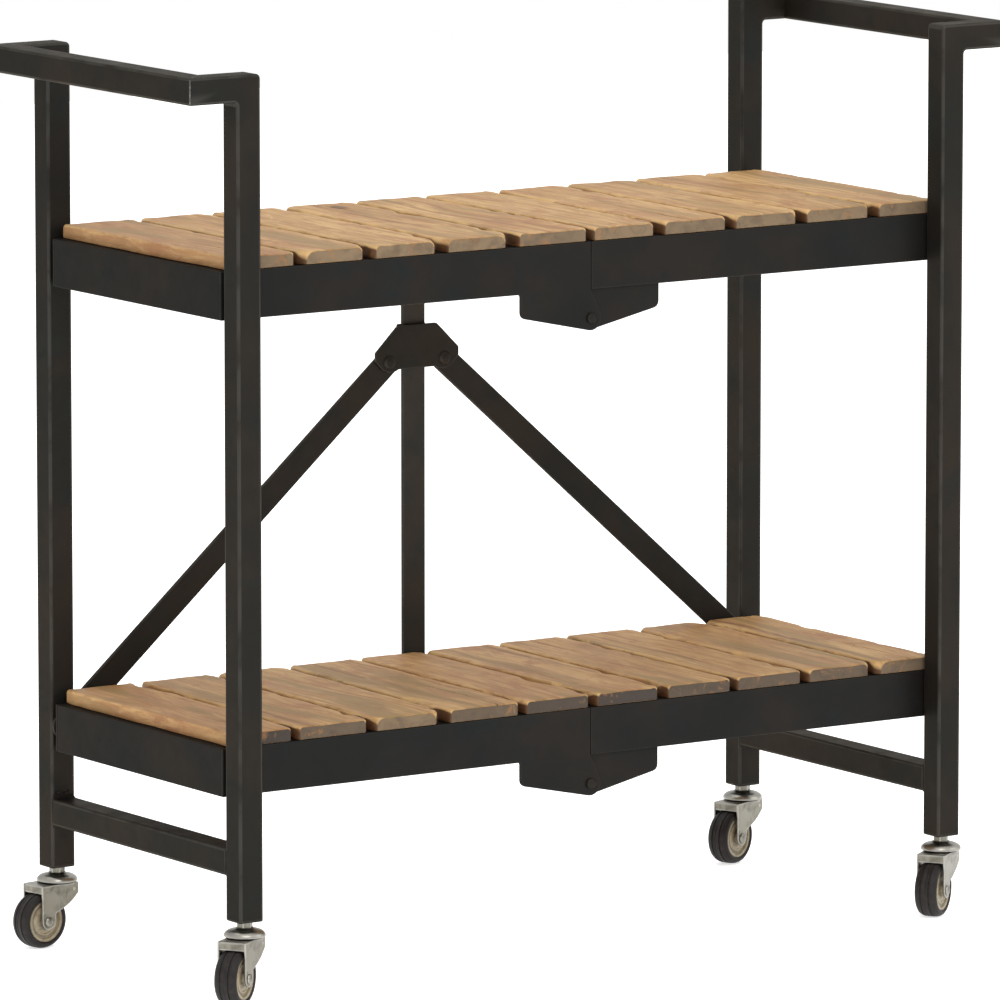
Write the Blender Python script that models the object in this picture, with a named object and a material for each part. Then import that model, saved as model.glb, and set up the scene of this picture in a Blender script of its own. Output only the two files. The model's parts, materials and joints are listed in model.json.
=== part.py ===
"""Folding bar cart: two tube end frames on swivel casters, two plank shelves that fold upwards
in the middle, and a rear post with a sliding collar and two braces.

The cart stands on the floor at z = 0, its long side lies along X and its front faces -Y.
All lengths are in metres.
"""
import math

import bmesh
import bpy
from mathutils import Matrix, Vector

# Overall layout
LEG_SPACING_X = 0.750          # leg centre to leg centre, along the cart
LEG_SPACING_Y = 0.315          # leg centre to leg centre, front to rear
LEG_LENGTH = 0.7425            # leg bottom to handle top
CASTER_HEIGHT = 0.0715         # floor to leg bottom
CLEARANCE = 0.0003             # between pieces that touch

# Square tube of the end frames
TUBE = 0.024
TUBE_WALL = 0.0016
TUBE_RADIUS = 0.002
TUBE_INSIDE_RADIUS = 0.0005
LEG_BASE = 0.003               # plate that closes a leg at its bottom
HANDLE_REACH = 0.048           # leg centre line to handle bar centre line
STRETCHER_HEIGHT = 0.0395      # leg bottom to stretcher underside

# Shelf frames, angle iron with its flange under the planks
UPPER_RAIL_BOTTOM = 0.598      # floor to the rail's underside
LOWER_RAIL_BOTTOM = 0.1797
RAIL_HEIGHT = 0.0425
RAIL_THICKNESS = 0.003
FLANGE_WIDTH = 0.025
FRONT_GAP = 0.004              # rail face to leg, on the front
REAR_GAP = 0.007               # rail face to leg, on the rear, where collar and braces run

# Planks
PLANKS_PER_HALF = 5
PLANK_THICKNESS = 0.012
PLANK_GAP = 0.006
PLANK_INSET = 0.009            # shelf end to first plank
PLANK_BEVEL = 0.0012

# Centre hinges
PIN_DROP = 0.026               # rail underside to hinge pin
PIN_RADIUS = 0.0035
NOSE_RADIUS = 0.011
PLATE_LENGTH = 0.075
PLATE_DEPTH = 0.021            # at the plate's outer end
PLATE_CORNER = 0.006
PLATE_OVERLAP = 0.014          # how far the inner plate reaches up behind its rail
PIN_HEAD_RADIUS = 0.0048
PIN_HEAD_HEIGHT = 0.003
PIN_DOME = 0.75                # share of the head's radius left at its top
PIN_BUSH_RADIUS = 0.0067       # bush between the rear rail and the post
POST_HEAD_RADIUS = 0.0058      # pin head behind the post
NOSE_ARC = (10, -100)          # part of the nose that stands free of the plate, degrees
PLATE_CORNER_ARC = (260, 180)
PLATE_WELD_INSET = 0.0075      # weld ends to plate ends

# Pivot bolts between shelf and leg
BOLT_RADIUS = 0.004
BOLT_HEAD_RADIUS = 0.0065
BOLT_HEAD_HEIGHT = 0.004
SPACER_RADIUS = 0.0055

# Rear post, collar and braces
POST_WIDTH = 0.024
POST_THICKNESS = 0.004
BRACE_WIDTH = 0.024
BRACE_THICKNESS = 0.0031
COLLAR_PLATE = 0.002
COLLAR_WALL = 0.003
COLLAR_PIN_HEIGHT = 0.5025     # floor to the pins of the braces on the collar
COLLAR_PIN_OFFSET = 0.030      # centre line to those pins
COLLAR_TOP = 0.033             # pins to top edge
COLLAR_TOP_HALF = 0.021
COLLAR_EAR_HALF = 0.0452
COLLAR_EAR_TOP = 0.010
COLLAR_EAR_BOTTOM = 0.002
COLLAR_FOOT = 0.007            # pins down to bottom edge
COLLAR_FOOT_HALF = 0.020
RIVET_HEAD_HEIGHT = 0.0022

# Casters
WHEEL_RADIUS = 0.025
WHEEL_WIDTH = 0.021
CASTER_TRAIL = 0.021
HUB_RADIUS = 0.0172
HUB_RECESS = 0.0022
TYRE_CURVE = ((0.15, 1.0), (0.6, 1.0), (1.0, 0.55))  # shares of tyre depth and of half the width
BOSS_RADIUS = 0.0062
BOSS_WIDTH = 0.0228
AXLE_RADIUS = 0.003
AXLE_HEAD_RADIUS = 0.0043
AXLE_HEAD_HEIGHT = 0.0022
FORK_INSIDE = 0.0236
FORK_THICKNESS = 0.0018
FORK_BACK = 0.028              # swivel axis to the crown's trailing edge
FORK_LIP = 0.0068
FORK_FRONT = 0.0162            # swivel axis to the crown's leading edge
FORK_NECK = 0.0075             # half width of a cheek where it meets the axle
FORK_CORNER = 0.0018           # corner radius of the crown
CHEEK_WAIST = 0.002            # where a cheek's sweep meets the axle boss
CHEEK_BOW = 0.0035             # how far the sweep bows forwards
CHEEK_BOW_DROP = 0.001         # and downwards
DISH_RADIUS = 0.017
DISH_HEIGHT = 0.008
NECK_HEIGHT = 0.0055
NECK_RADIUS = 0.0068
DISH_CURVE = ((0.72, 0.10), (0.93, 0.36), (1.0, 0.62), (0.97, 1.0))  # shares of radius and height
STEM_RADIUS = 0.005
STEM_LENGTH = 0.020
CASTER_YAW = {                 # how far each caster stands turned, degrees
    "front_left": 34.0,
    "rear_left": 9.0,
    "front_right": 35.0,
    "rear_right": 22.0,
}

ROUND_STEPS = 20               # sides of a caster stem
WHEEL_STEPS = 24
BOLT_STEPS = 12
CORNER_STEPS = 2
SWEEP_STEPS = 6
NUT_SIDES = 6
SHARP_ANGLE = 35               # degrees
EMPTY_SIZE = 0.03

STEEL = ((0.045, 0.041, 0.037), 0.45, 0.85)
WOOD = ((0.50, 0.33, 0.18), 0.62, 0.0)
ZINC = ((0.62, 0.61, 0.58), 0.28, 1.0)
WHEEL = ((0.035, 0.033, 0.032), 0.65, 0.0)

# Places worked out from the dimensions above
LEG_X = LEG_SPACING_X / 2
LEG_Y = LEG_SPACING_Y / 2
LEG_TOP = CASTER_HEIGHT + LEG_LENGTH
SHELF_END = LEG_X + TUBE / 2
FRONT_FACE = -LEG_Y + TUBE / 2 + FRONT_GAP
REAR_FACE = LEG_Y - TUBE / 2 - REAR_GAP
PIVOT_RISE = RAIL_HEIGHT / 2
HANDLE_X = LEG_X + HANDLE_REACH
BORE = CLEARANCE               # added to a shaft's radius for its hole
POST_FRONT = REAR_FACE + REAR_GAP - CLEARANCE
BRACE_BACK = LEG_Y - TUBE / 2 - CLEARANCE
COLLAR_BACK = BRACE_BACK - BRACE_THICKNESS - CLEARANCE
COLLAR_FRONT = COLLAR_BACK - COLLAR_PLATE
SHELVES = {"upper": UPPER_RAIL_BOTTOM, "lower": LOWER_RAIL_BOTTOM}
SIDES = {"left": -1, "right": 1}


def pivot_height(shelf):
    """Height of the bolts that carry a shelf on the legs."""
    return SHELVES[shelf] + PIVOT_RISE


def pin_height(shelf):
    """Height of the hinge pins in the middle of a shelf."""
    return SHELVES[shelf] - PIN_DROP


def front_reach():
    """How far a turned front wheel stands out in front of its leg's centre line."""
    reaches = []
    for corner, yaw in CASTER_YAW.items():
        if corner.startswith("front"):
            turn = math.radians(yaw)
            along = (CASTER_TRAIL + WHEEL_RADIUS) * math.sin(turn)
            reaches.append(along + WHEEL_WIDTH / 2 * math.cos(turn))
    return max(reaches)


# The origin is under the middle of the cart's box, wheels included
CART_OFFSET_Y = (max(front_reach(), TUBE / 2) - TUBE / 2) / 2

origins = {}


def clear_scene():
    for obj in list(bpy.data.objects):
        bpy.data.objects.remove(obj, do_unlink=True)


def add_body(name, parent, origin, turn=0.0):
    """Empty on a joint's axis. The origin is given from the cart's own centre."""
    empty = bpy.data.objects.new(name, None)
    empty.empty_display_size = EMPTY_SIZE
    bpy.context.scene.collection.objects.link(empty)
    origins[name] = Vector(origin)
    if parent:
        empty.parent = bpy.data.objects[parent]
        empty.location = origins[name] - origins[parent]
    else:
        empty.location = (0.0, CART_OFFSET_Y, 0.0)
    empty.rotation_euler = (0.0, 0.0, math.radians(turn))
    return name


def add_part(name, shape, body, finish, own_frame=False):
    """Turn a bmesh into a named object on a body. Own-frame shapes are drawn around the
    body's origin, the others in the cart's coordinates."""
    colour, roughness, metallic = finish
    if not own_frame:
        shape.transform(Matrix.Translation(-origins[body]))
    mesh = bpy.data.meshes.new(name)
    shape.to_mesh(mesh)
    shape.free()
    mesh.shade_smooth()
    mesh.set_sharp_from_angle(angle=math.radians(SHARP_ANGLE))
    material = bpy.data.materials.new(name)
    material.use_nodes = True
    shader = material.node_tree.nodes["Principled BSDF"]
    shader.inputs["Base Color"].default_value = (*colour, 1.0)
    shader.inputs["Roughness"].default_value = roughness
    shader.inputs["Metallic"].default_value = metallic
    mesh.materials.append(material)
    obj = bpy.data.objects.new(name, mesh)
    obj.parent = bpy.data.objects[body]
    bpy.context.scene.collection.objects.link(obj)
    return obj


def combine(first, second, operation):
    """Exact Boolean of two bmeshes, which it uses up."""
    operands = []
    for shape in (first, second):
        mesh = bpy.data.meshes.new("operand")
        shape.to_mesh(mesh)
        shape.free()
        obj = bpy.data.objects.new("operand", mesh)
        bpy.context.scene.collection.objects.link(obj)
        operands.append(obj)
    target, tool = operands
    modifier = target.modifiers.new("combine", "BOOLEAN")
    modifier.solver = "EXACT"
    modifier.operation = operation
    modifier.object = tool
    view = bpy.context.evaluated_depsgraph_get()
    result = bmesh.new()
    result.from_object(target, view)
    for obj in operands:
        mesh = obj.data
        bpy.data.objects.remove(obj, do_unlink=True)
        bpy.data.meshes.remove(mesh)
    return result


def cut(shape, *tools):
    for tool in tools:
        shape = combine(shape, tool, "DIFFERENCE")
    return shape


def fuse(shape, *tools):
    for tool in tools:
        shape = combine(shape, tool, "UNION")
    return shape


def skin(shape, rings, close_ends):
    """Faces between rings of vertices, each ring closed on itself."""
    for ring, following in zip(rings, rings[1:]):
        for index in range(len(ring)):
            other = (index + 1) % len(ring)
            shape.faces.new((ring[index], ring[other], following[other], following[index]))
    if close_ends:
        shape.faces.new(rings[0])
        shape.faces.new(list(reversed(rings[-1])))


def outward(shape):
    """Point the faces of a newly drawn shape outwards."""
    bmesh.ops.recalc_face_normals(shape, faces=shape.faces[:])
    return shape


def box(low, high):
    shape = bmesh.new()
    bmesh.ops.create_cube(shape, size=1.0)
    size = Vector(high) - Vector(low)
    centre = (Vector(high) + Vector(low)) / 2
    shape.transform(Matrix.Translation(centre) @ Matrix.Diagonal((*size, 1.0)))
    return shape


def prism(outline, start, end, place):
    """Extrude a flat outline. place(a, b, c) turns outline point and depth into a position."""
    shape = bmesh.new()
    rings = [[shape.verts.new(place(a, b, depth)) for a, b in outline] for depth in (start, end)]
    skin(shape, rings, close_ends=True)
    return outward(shape)


def upright(a, b, depth):
    """Outline in X and Z, extruded along Y."""
    return (a, depth, b)


def flat(a, b, depth):
    """Outline in X and Y, extruded along Z."""
    return (a, b, depth)


def arc(centre, radius, start, end, steps):
    points = []
    for index in range(steps + 1):
        angle = math.radians(start + (end - start) * index / steps)
        points.append((centre[0] + radius * math.cos(angle), centre[1] + radius * math.sin(angle)))
    return points


def circle(centre, radius, steps):
    return arc(centre, radius, 0, 360 - 360 / steps, steps - 1)


def rounded_rectangle(left, bottom, right, top, radius):
    points = []
    corners = ((right, top, -1, -1, 0), (left, top, 1, -1, 90),
               (left, bottom, 1, 1, 180), (right, bottom, -1, 1, 270))
    for x, y, step_x, step_y, start in corners:
        centre = (x + step_x * radius, y + step_y * radius)
        points += arc(centre, radius, start, start + 90, CORNER_STEPS)
    return points


def rod(radius, start, end, centre, steps=BOLT_STEPS):
    """Round bar along Y through centre, given as X and Z."""
    return prism(circle(centre, radius, steps), start, end, upright)


def turned(profile, place, steps, ring_shaped=False):
    """Turn a profile of radius and height. A ring-shaped profile closes on itself, the other
    kind starts and ends on the axis."""
    shape = bmesh.new()
    rings = []
    for step in range(steps):
        angle = 2 * math.pi * step / steps
        rings.append([(radius * math.cos(angle), radius * math.sin(angle), height)
                      for radius, height in profile])
    if ring_shaped:
        grid = [[shape.verts.new(place(*point)) for point in ring] for ring in rings]
        skin(shape, grid + grid[:1], close_ends=False)
        return outward(shape)
    first = shape.verts.new(place(*rings[0][0]))
    last = shape.verts.new(place(*rings[0][-1]))
    grid = [[shape.verts.new(place(*point)) for point in ring[1:-1]] for ring in rings]
    for ring, following in zip(grid, grid[1:] + grid[:1]):
        shape.faces.new((first, ring[0], following[0]))
        shape.faces.new((last, following[-1], ring[-1]))
        for index in range(len(ring) - 1):
            shape.faces.new((ring[index], ring[index + 1], following[index + 1], following[index]))
    return outward(shape)


def along_y(centre_x, centre_z):
    """Place a turned piece with its axis along Y."""
    def place(a, b, height):
        return (centre_x + a, height, centre_z + b)
    return place


def around_u(profile, x_end, x_corner, y_front, y_rear):
    """Rings of a profile swept round three sides of a rectangle, mitred at its corners.
    Profile points are an inward distance and a height."""
    inward = 1 if x_end > x_corner else -1
    rings = [[], [], [], []]
    for depth, height in profile:
        rings[0].append((x_end, y_front + depth, height))
        rings[1].append((x_corner + inward * depth, y_front + depth, height))
        rings[2].append((x_corner + inward * depth, y_rear - depth, height))
        rings[3].append((x_end, y_rear - depth, height))
    return rings


def hollow_sweep(outer_rings, inner_rings):
    """Tube with both ends open."""
    shape = bmesh.new()
    outer = [[shape.verts.new(point) for point in ring] for ring in outer_rings]
    inner = [[shape.verts.new(point) for point in ring] for ring in inner_rings]
    skin(shape, outer, close_ends=False)
    skin(shape, inner, close_ends=False)
    for end in (0, -1):
        skin(shape, [outer[end], inner[end]], close_ends=False)
    return outward(shape)


def tube_profiles(centre_z):
    """Outer and inner outline of the square tube, around its centre line."""
    half = TUBE / 2
    hollow = half - TUBE_WALL
    outer = rounded_rectangle(-half, centre_z - half, half, centre_z + half, TUBE_RADIUS)
    inner = rounded_rectangle(-hollow, centre_z - hollow, hollow, centre_z + hollow,
                              TUBE_INSIDE_RADIUS)
    return outer, inner


# End frames

def make_leg(name, body, x, y):
    half = TUBE / 2
    hollow = half - TUBE_WALL
    leg = prism(rounded_rectangle(x - half, y - half, x + half, y + half, TUBE_RADIUS),
                CASTER_HEIGHT, LEG_TOP, flat)
    inside = prism(rounded_rectangle(x - hollow, y - hollow, x + hollow, y + hollow,
                                     TUBE_INSIDE_RADIUS),
                   CASTER_HEIGHT + LEG_BASE, LEG_TOP - TUBE_WALL, flat)
    stem_hole = prism(circle((x, y), STEM_RADIUS + BORE, ROUND_STEPS),
                      CASTER_HEIGHT - LEG_BASE, CASTER_HEIGHT + 2 * LEG_BASE, flat)
    inner_face = y - math.copysign(half, y)
    bolt_holes = [rod(BOLT_RADIUS + BORE, inner_face - TUBE_WALL * 2, inner_face + TUBE_WALL * 2,
                      (x, pivot_height(shelf))) for shelf in SHELVES]
    add_part(name, cut(leg, inside, stem_hole, *bolt_holes), body, STEEL)


def make_handle(name, body, side):
    height = LEG_TOP - TUBE / 2
    x_end = side * (SHELF_END + CLEARANCE)
    outer, inner = [around_u(profile, x_end, side * HANDLE_X, -LEG_Y, LEG_Y)
                    for profile in tube_profiles(height)]
    add_part(name, hollow_sweep(outer, inner), body, STEEL)


def make_stretcher(name, body, side):
    height = CASTER_HEIGHT + STRETCHER_HEIGHT + TUBE / 2
    end = LEG_Y - TUBE / 2 - CLEARANCE
    outer, inner = [[[(side * LEG_X + a, y, b) for a, b in profile] for y in (-end, end)]
                    for profile in tube_profiles(height)]
    add_part(name, hollow_sweep(outer, inner), body, STEEL)


# Shelf frames and planks

def hinge_plate(side, rail_bottom, top):
    """Outline in X and Z of a centre hinge plate, from the rail down to the nose round the pin."""
    pin = (0.0, rail_bottom - PIN_DROP)
    nose = arc(pin, NOSE_RADIUS, *NOSE_ARC, 3 * CORNER_STEPS)
    outer = -PLATE_LENGTH
    foot = rail_bottom - PLATE_DEPTH
    corner = arc((outer + PLATE_CORNER, foot + PLATE_CORNER), PLATE_CORNER, *PLATE_CORNER_ARC,
                 CORNER_STEPS)
    outline = [(-CLEARANCE, top), (-CLEARANCE, rail_bottom)] + nose + corner + [(outer, top)]
    return [(-side * x, z) for x, z in outline]


def make_frame(name, body, shelf, side):
    bottom = SHELVES[shelf]
    top = bottom + RAIL_HEIGHT
    angle_iron = [(0.0, bottom), (0.0, top), (FLANGE_WIDTH, top),
                  (FLANGE_WIDTH, top - RAIL_THICKNESS), (RAIL_THICKNESS, top - RAIL_THICKNESS),
                  (RAIL_THICKNESS, bottom)]
    frame = bmesh.new()
    rings = around_u(angle_iron, side * CLEARANCE, side * SHELF_END, FRONT_FACE, REAR_FACE)
    skin(frame, [[frame.verts.new(point) for point in ring] for ring in rings], close_ends=True)
    outward(frame)
    # The left plates lie flush with the rails, the right plates behind them
    if side < 0:
        faces = [(FRONT_FACE, 1, 0.0), (REAR_FACE, -1, 0.0)]
        reach = bottom + RAIL_HEIGHT / 2
    else:
        recess = RAIL_THICKNESS + CLEARANCE
        faces = [(FRONT_FACE, 1, recess), (REAR_FACE, -1, recess)]
        reach = bottom + PLATE_OVERLAP
    tools = []
    for face, inward, recess in faces:
        near = face + inward * recess
        far = face + inward * (recess + RAIL_THICKNESS)
        tools.append(prism(hinge_plate(side, bottom, reach), near, far, upright))
        if recess:
            # Weld between the recessed plate and its rail
            ends_x = sorted((side * PLATE_WELD_INSET, side * (PLATE_LENGTH - PLATE_WELD_INSET)))
            ends_y = sorted((face + inward * RAIL_THICKNESS / 2, near + inward * RAIL_THICKNESS / 2))
            tools.append(box((ends_x[0], ends_y[0], bottom + CLEARANCE),
                             (ends_x[1], ends_y[1], reach - CLEARANCE)))
    frame = fuse(frame, *tools)
    holes = []
    for face in (FRONT_FACE, REAR_FACE):
        reach_y = 4 * RAIL_THICKNESS
        holes.append(rod(PIN_RADIUS + BORE, face - reach_y, face + reach_y, (0.0, pin_height(shelf))))
        holes.append(rod(BOLT_RADIUS + BORE, face - reach_y, face + reach_y,
                         (side * LEG_X, pivot_height(shelf))))
    add_part(name, cut(frame, *holes), body, STEEL)


def make_planks(body, shelf, side):
    room = SHELF_END - PLANK_INSET - PLANK_GAP / 2
    width = (room - (PLANKS_PER_HALF - 1) * PLANK_GAP) / PLANKS_PER_HALF
    base = SHELVES[shelf] + RAIL_HEIGHT + CLEARANCE
    for index in range(PLANKS_PER_HALF):
        near = PLANK_GAP / 2 + index * (width + PLANK_GAP)
        ends = sorted((side * near, side * (near + width)))
        plank = box((ends[0], FRONT_FACE, base), (ends[1], REAR_FACE, base + PLANK_THICKNESS))
        bmesh.ops.bevel(plank, geom=plank.edges[:], offset=PLANK_BEVEL, segments=1, affect="EDGES")
        side_name = "left" if side < 0 else "right"
        add_part(f"{shelf}_{side_name}_plank_{index + 1}", plank, body, WOOD)


# Pins, bolts, post, collar and braces

def stepped_bolt(start, sections):
    """Profile of a bolt that starts at a Y, from pairs of radius and the Y where it ends."""
    profile = [(0.0, start)]
    place = start
    for radius, end in sections:
        profile += [(radius, place), (radius, end)]
        place = end
    return profile + [(0.0, place)]


def make_pivot_bolt(name, body, shelf, x, is_front):
    """Bolt from inside the rail into a nut inside the leg, with a spacer on it wherever no
    brace fills the space between them."""
    inward = 1 if is_front else -1
    face = FRONT_FACE if is_front else REAR_FACE
    leg_face = (-1 if is_front else 1) * (LEG_Y - TUBE / 2)
    web = face + inward * (RAIL_THICKNESS + CLEARANCE)
    spacer_end = leg_face + inward * CLEARANCE
    nut_start = leg_face - inward * (TUBE_WALL + CLEARANCE)
    sections = [(BOLT_HEAD_RADIUS, web)]
    if is_front or shelf == "upper":
        sections += [(BOLT_RADIUS, face - inward * CLEARANCE), (SPACER_RADIUS, spacer_end)]
    sections += [(BOLT_RADIUS, nut_start), (BOLT_HEAD_RADIUS, nut_start - inward * BOLT_HEAD_HEIGHT)]
    profile = stepped_bolt(web + inward * BOLT_HEAD_HEIGHT, sections)
    add_part(name, turned(profile, along_y(x, pivot_height(shelf)), BOLT_STEPS), body, ZINC)


def make_hinge_pin(name, body, shelf, is_front):
    """Centre pin. The rear one also carries the post, on a bush."""
    inward = 1 if is_front else -1
    face = FRONT_FACE if is_front else REAR_FACE
    inside = face + inward * (2 * RAIL_THICKNESS + 2 * CLEARANCE)
    outside = face - inward * CLEARANCE
    sections = [(PIN_HEAD_RADIUS, inside), (PIN_RADIUS, outside)]
    if is_front:
        sections.append((PIN_HEAD_RADIUS, outside - PIN_HEAD_HEIGHT / 2))
        sections.append((PIN_HEAD_RADIUS * PIN_DOME, outside - PIN_HEAD_HEIGHT))
    else:
        post_back = POST_FRONT + POST_THICKNESS
        sections.append((PIN_BUSH_RADIUS, POST_FRONT - CLEARANCE))
        sections.append((PIN_RADIUS, post_back + CLEARANCE))
        sections.append((POST_HEAD_RADIUS, post_back + CLEARANCE + PIN_HEAD_HEIGHT))
    profile = stepped_bolt(inside + inward * PIN_HEAD_HEIGHT, sections)
    add_part(name, turned(profile, along_y(0.0, pin_height(shelf)), BOLT_STEPS), body, STEEL)


def slot_outline(first, second, radius):
    """Outline of a bar with round ends, from the first centre to the second."""
    heading = math.degrees(math.atan2(second[1] - first[1], second[0] - first[0]))
    steps = 4 * CORNER_STEPS
    return (arc(second, radius, heading - 90, heading + 90, steps)
            + arc(first, radius, heading + 90, heading + 270, steps))


def make_post(name, body):
    low = (0.0, pin_height("lower"))
    high = (0.0, pin_height("upper"))
    post = prism(slot_outline(low, high, POST_WIDTH / 2), POST_FRONT, POST_FRONT + POST_THICKNESS,
                 upright)
    holes = [rod(PIN_RADIUS + BORE, POST_FRONT - POST_THICKNESS, POST_FRONT + 2 * POST_THICKNESS, end)
             for end in (low, high)]
    add_part(name, cut(post, *holes), body, STEEL)


def make_collar(name, body):
    """Two plates joined by a wall on each side of the post. The front plate has an ear for
    each brace, with a rivet head on it."""
    z = COLLAR_PIN_HEIGHT
    ear = arc((COLLAR_PIN_OFFSET, z), COLLAR_PIN_OFFSET - POST_WIDTH / 2 - COLLAR_WALL * 2, 0, -135,
              2 * CORNER_STEPS)
    half = [(COLLAR_TOP_HALF, z + COLLAR_TOP), (COLLAR_EAR_HALF, z + COLLAR_EAR_TOP),
            (COLLAR_EAR_HALF, z + COLLAR_EAR_BOTTOM)] + ear + [(COLLAR_FOOT_HALF, z - COLLAR_FOOT)]
    outline = half + [(-x, height) for x, height in reversed(half)]
    collar = prism(outline, COLLAR_FRONT, COLLAR_BACK, upright)
    inside = POST_WIDTH / 2 + CLEARANCE
    outside = inside + COLLAR_WALL
    post_back = POST_FRONT + POST_THICKNESS + CLEARANCE
    back_plate = box((-outside, post_back, z - COLLAR_FOOT),
                     (outside, post_back + COLLAR_PLATE, z + COLLAR_TOP))
    walls = []
    for side in (-1, 1):
        ends = sorted((side * inside, side * outside))
        walls.append(box((ends[0], COLLAR_BACK - COLLAR_PLATE / 2, z - COLLAR_FOOT / 2),
                         (ends[1], post_back + COLLAR_PLATE / 2, z + COLLAR_TOP - COLLAR_FOOT / 2)))
    rivets = [rod(BOLT_HEAD_RADIUS, COLLAR_FRONT - RIVET_HEAD_HEIGHT, COLLAR_FRONT + COLLAR_PLATE / 2,
                  (side * COLLAR_PIN_OFFSET, z)) for side in (-1, 1)]
    add_part(name, fuse(collar, *walls, back_plate, *rivets), body, STEEL)


def make_brace(name, body, side):
    low = (side * LEG_X, pivot_height("lower"))
    high = (side * COLLAR_PIN_OFFSET, COLLAR_PIN_HEIGHT)
    front = BRACE_BACK - BRACE_THICKNESS
    brace = prism(slot_outline(low, high, BRACE_WIDTH / 2), front, BRACE_BACK, upright)
    nut = rod(BOLT_HEAD_RADIUS, BRACE_BACK - BRACE_THICKNESS / 2, BRACE_BACK + BOLT_HEAD_HEIGHT, high,
              steps=NUT_SIDES)
    hole = rod(BOLT_RADIUS + BORE, front - BRACE_THICKNESS, BRACE_BACK + BRACE_THICKNESS, low)
    add_part(name, cut(fuse(brace, nut), hole), body, STEEL)


# Casters

def make_stem(name, body, x, y):
    """Stem, neck and swivel dish, fixed in the leg."""
    dish_top = -NECK_HEIGHT
    dish_bottom = dish_top - DISH_HEIGHT
    profile = [(0.0, STEM_LENGTH), (STEM_RADIUS, STEM_LENGTH), (STEM_RADIUS, -CLEARANCE),
               (NECK_RADIUS, -CLEARANCE), (NECK_RADIUS, dish_top)]
    profile += [(DISH_RADIUS * across, dish_top - DISH_HEIGHT * down) for across, down in DISH_CURVE]
    profile.append((0.0, dish_bottom))
    stem = turned([(radius, CASTER_HEIGHT + height) for radius, height in profile], flat, ROUND_STEPS)
    stem.transform(Matrix.Translation((x, y, 0.0)))
    add_part(name, stem, body, ZINC)


def cheek_outline():
    """Outline in X and Z of a fork cheek: upright behind, swept in towards the axle in front."""
    top = -NECK_HEIGHT - DISH_HEIGHT - CLEARANCE
    axle = (-CASTER_TRAIL, WHEEL_RADIUS - CASTER_HEIGHT)
    shoulder = (FORK_FRONT, top - FORK_LIP)
    waist = (axle[0] + FORK_NECK + CHEEK_WAIST, axle[1] + FORK_NECK)
    sweep = []
    for index in range(SWEEP_STEPS + 1):
        part = index / SWEEP_STEPS
        bow = math.sin(part * math.pi)
        sweep.append((shoulder[0] + (waist[0] - shoulder[0]) * part + bow * CHEEK_BOW,
                      shoulder[1] + (waist[1] - shoulder[1]) * part - bow * CHEEK_BOW_DROP))
    boss = arc(axle, FORK_NECK, 0, -180, 2 * CORNER_STEPS)
    return [(FORK_FRONT, top)] + sweep + boss + [(axle[0] - FORK_NECK, top)]


def make_fork(name, body):
    """Fork with its axle, drawn around the point where the swivel axis meets the leg bottom."""
    top = -NECK_HEIGHT - DISH_HEIGHT - CLEARANCE
    inside = FORK_INSIDE / 2
    outside = inside + FORK_THICKNESS
    axle = (-CASTER_TRAIL, WHEEL_RADIUS - CASTER_HEIGHT)
    crown = prism(rounded_rectangle(-FORK_BACK, -outside, FORK_FRONT, outside, FORK_CORNER),
                  top - FORK_THICKNESS, top, flat)
    lip = box((-FORK_BACK, -outside + FORK_CORNER, top - FORK_LIP),
              (-FORK_BACK + FORK_THICKNESS, outside - FORK_CORNER, top - FORK_THICKNESS / 2))
    cheeks = [prism(cheek_outline(), side * inside, side * outside, upright) for side in (-1, 1)]
    reach = outside + AXLE_HEAD_HEIGHT
    axle_bar = rod(AXLE_RADIUS, -reach + CLEARANCE, reach - CLEARANCE, axle)
    heads = [rod(AXLE_HEAD_RADIUS, side * (outside - FORK_THICKNESS / 2), side * reach, axle)
             for side in (-1, 1)]
    add_part(name, fuse(crown, *cheeks, lip, axle_bar, *heads), body, ZINC, own_frame=True)


def make_wheel(name, body):
    """Hub and tyre, drawn around the axle."""
    half = WHEEL_WIDTH / 2
    face = half - HUB_RECESS
    rim = WHEEL_RADIUS - HUB_RADIUS
    side = [(AXLE_RADIUS + BORE, BOSS_WIDTH / 2), (BOSS_RADIUS, BOSS_WIDTH / 2), (BOSS_RADIUS, face),
            (HUB_RADIUS, face)]
    side += [(HUB_RADIUS + rim * out, half * across) for out, across in TYRE_CURVE]
    profile = side + [(radius, -width) for radius, width in reversed(side)]
    wheel = turned(profile, along_y(0.0, 0.0), WHEEL_STEPS, ring_shaped=True)
    add_part(name, wheel, body, WHEEL, own_frame=True)


def make_caster(corner, body, x, y):
    swivel = add_body(f"caster_{corner}_swivel", body, (x, y, CASTER_HEIGHT), CASTER_YAW[corner])
    make_stem(f"caster_{corner}_stem", body, x, y)
    make_fork(f"caster_{corner}_fork", swivel)
    axle = (-CASTER_TRAIL, 0.0, WHEEL_RADIUS - CASTER_HEIGHT)
    roll = add_body(f"caster_{corner}_roll", swivel, origins[swivel] + Vector(axle))
    make_wheel(f"caster_{corner}_wheel", roll)


def make_bodies():
    """Empties on the joint axes, in the order in which the joints hang on each other."""
    add_body("cart", None, (0.0, 0.0, 0.0))
    add_body("left_end", "cart", (-LEG_X, 0.0, 0.0))
    for shelf in SHELVES:
        add_body(f"{shelf}_left_half", "left_end", (-LEG_X, 0.0, pivot_height(shelf)))
        add_body(f"{shelf}_right_half", f"{shelf}_left_half", (0.0, 0.0, pin_height(shelf)))
    add_body("right_end", "upper_right_half", (LEG_X, 0.0, pivot_height("upper")))
    add_body("post", "upper_left_half", (0.0, POST_FRONT, pin_height("upper")))
    add_body("collar", "post", (0.0, POST_FRONT, COLLAR_PIN_HEIGHT))
    add_body("left_brace", "left_end", (-LEG_X, BRACE_BACK, pivot_height("lower")))
    add_body("right_brace", "right_end", (LEG_X, BRACE_BACK, pivot_height("lower")))


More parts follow.
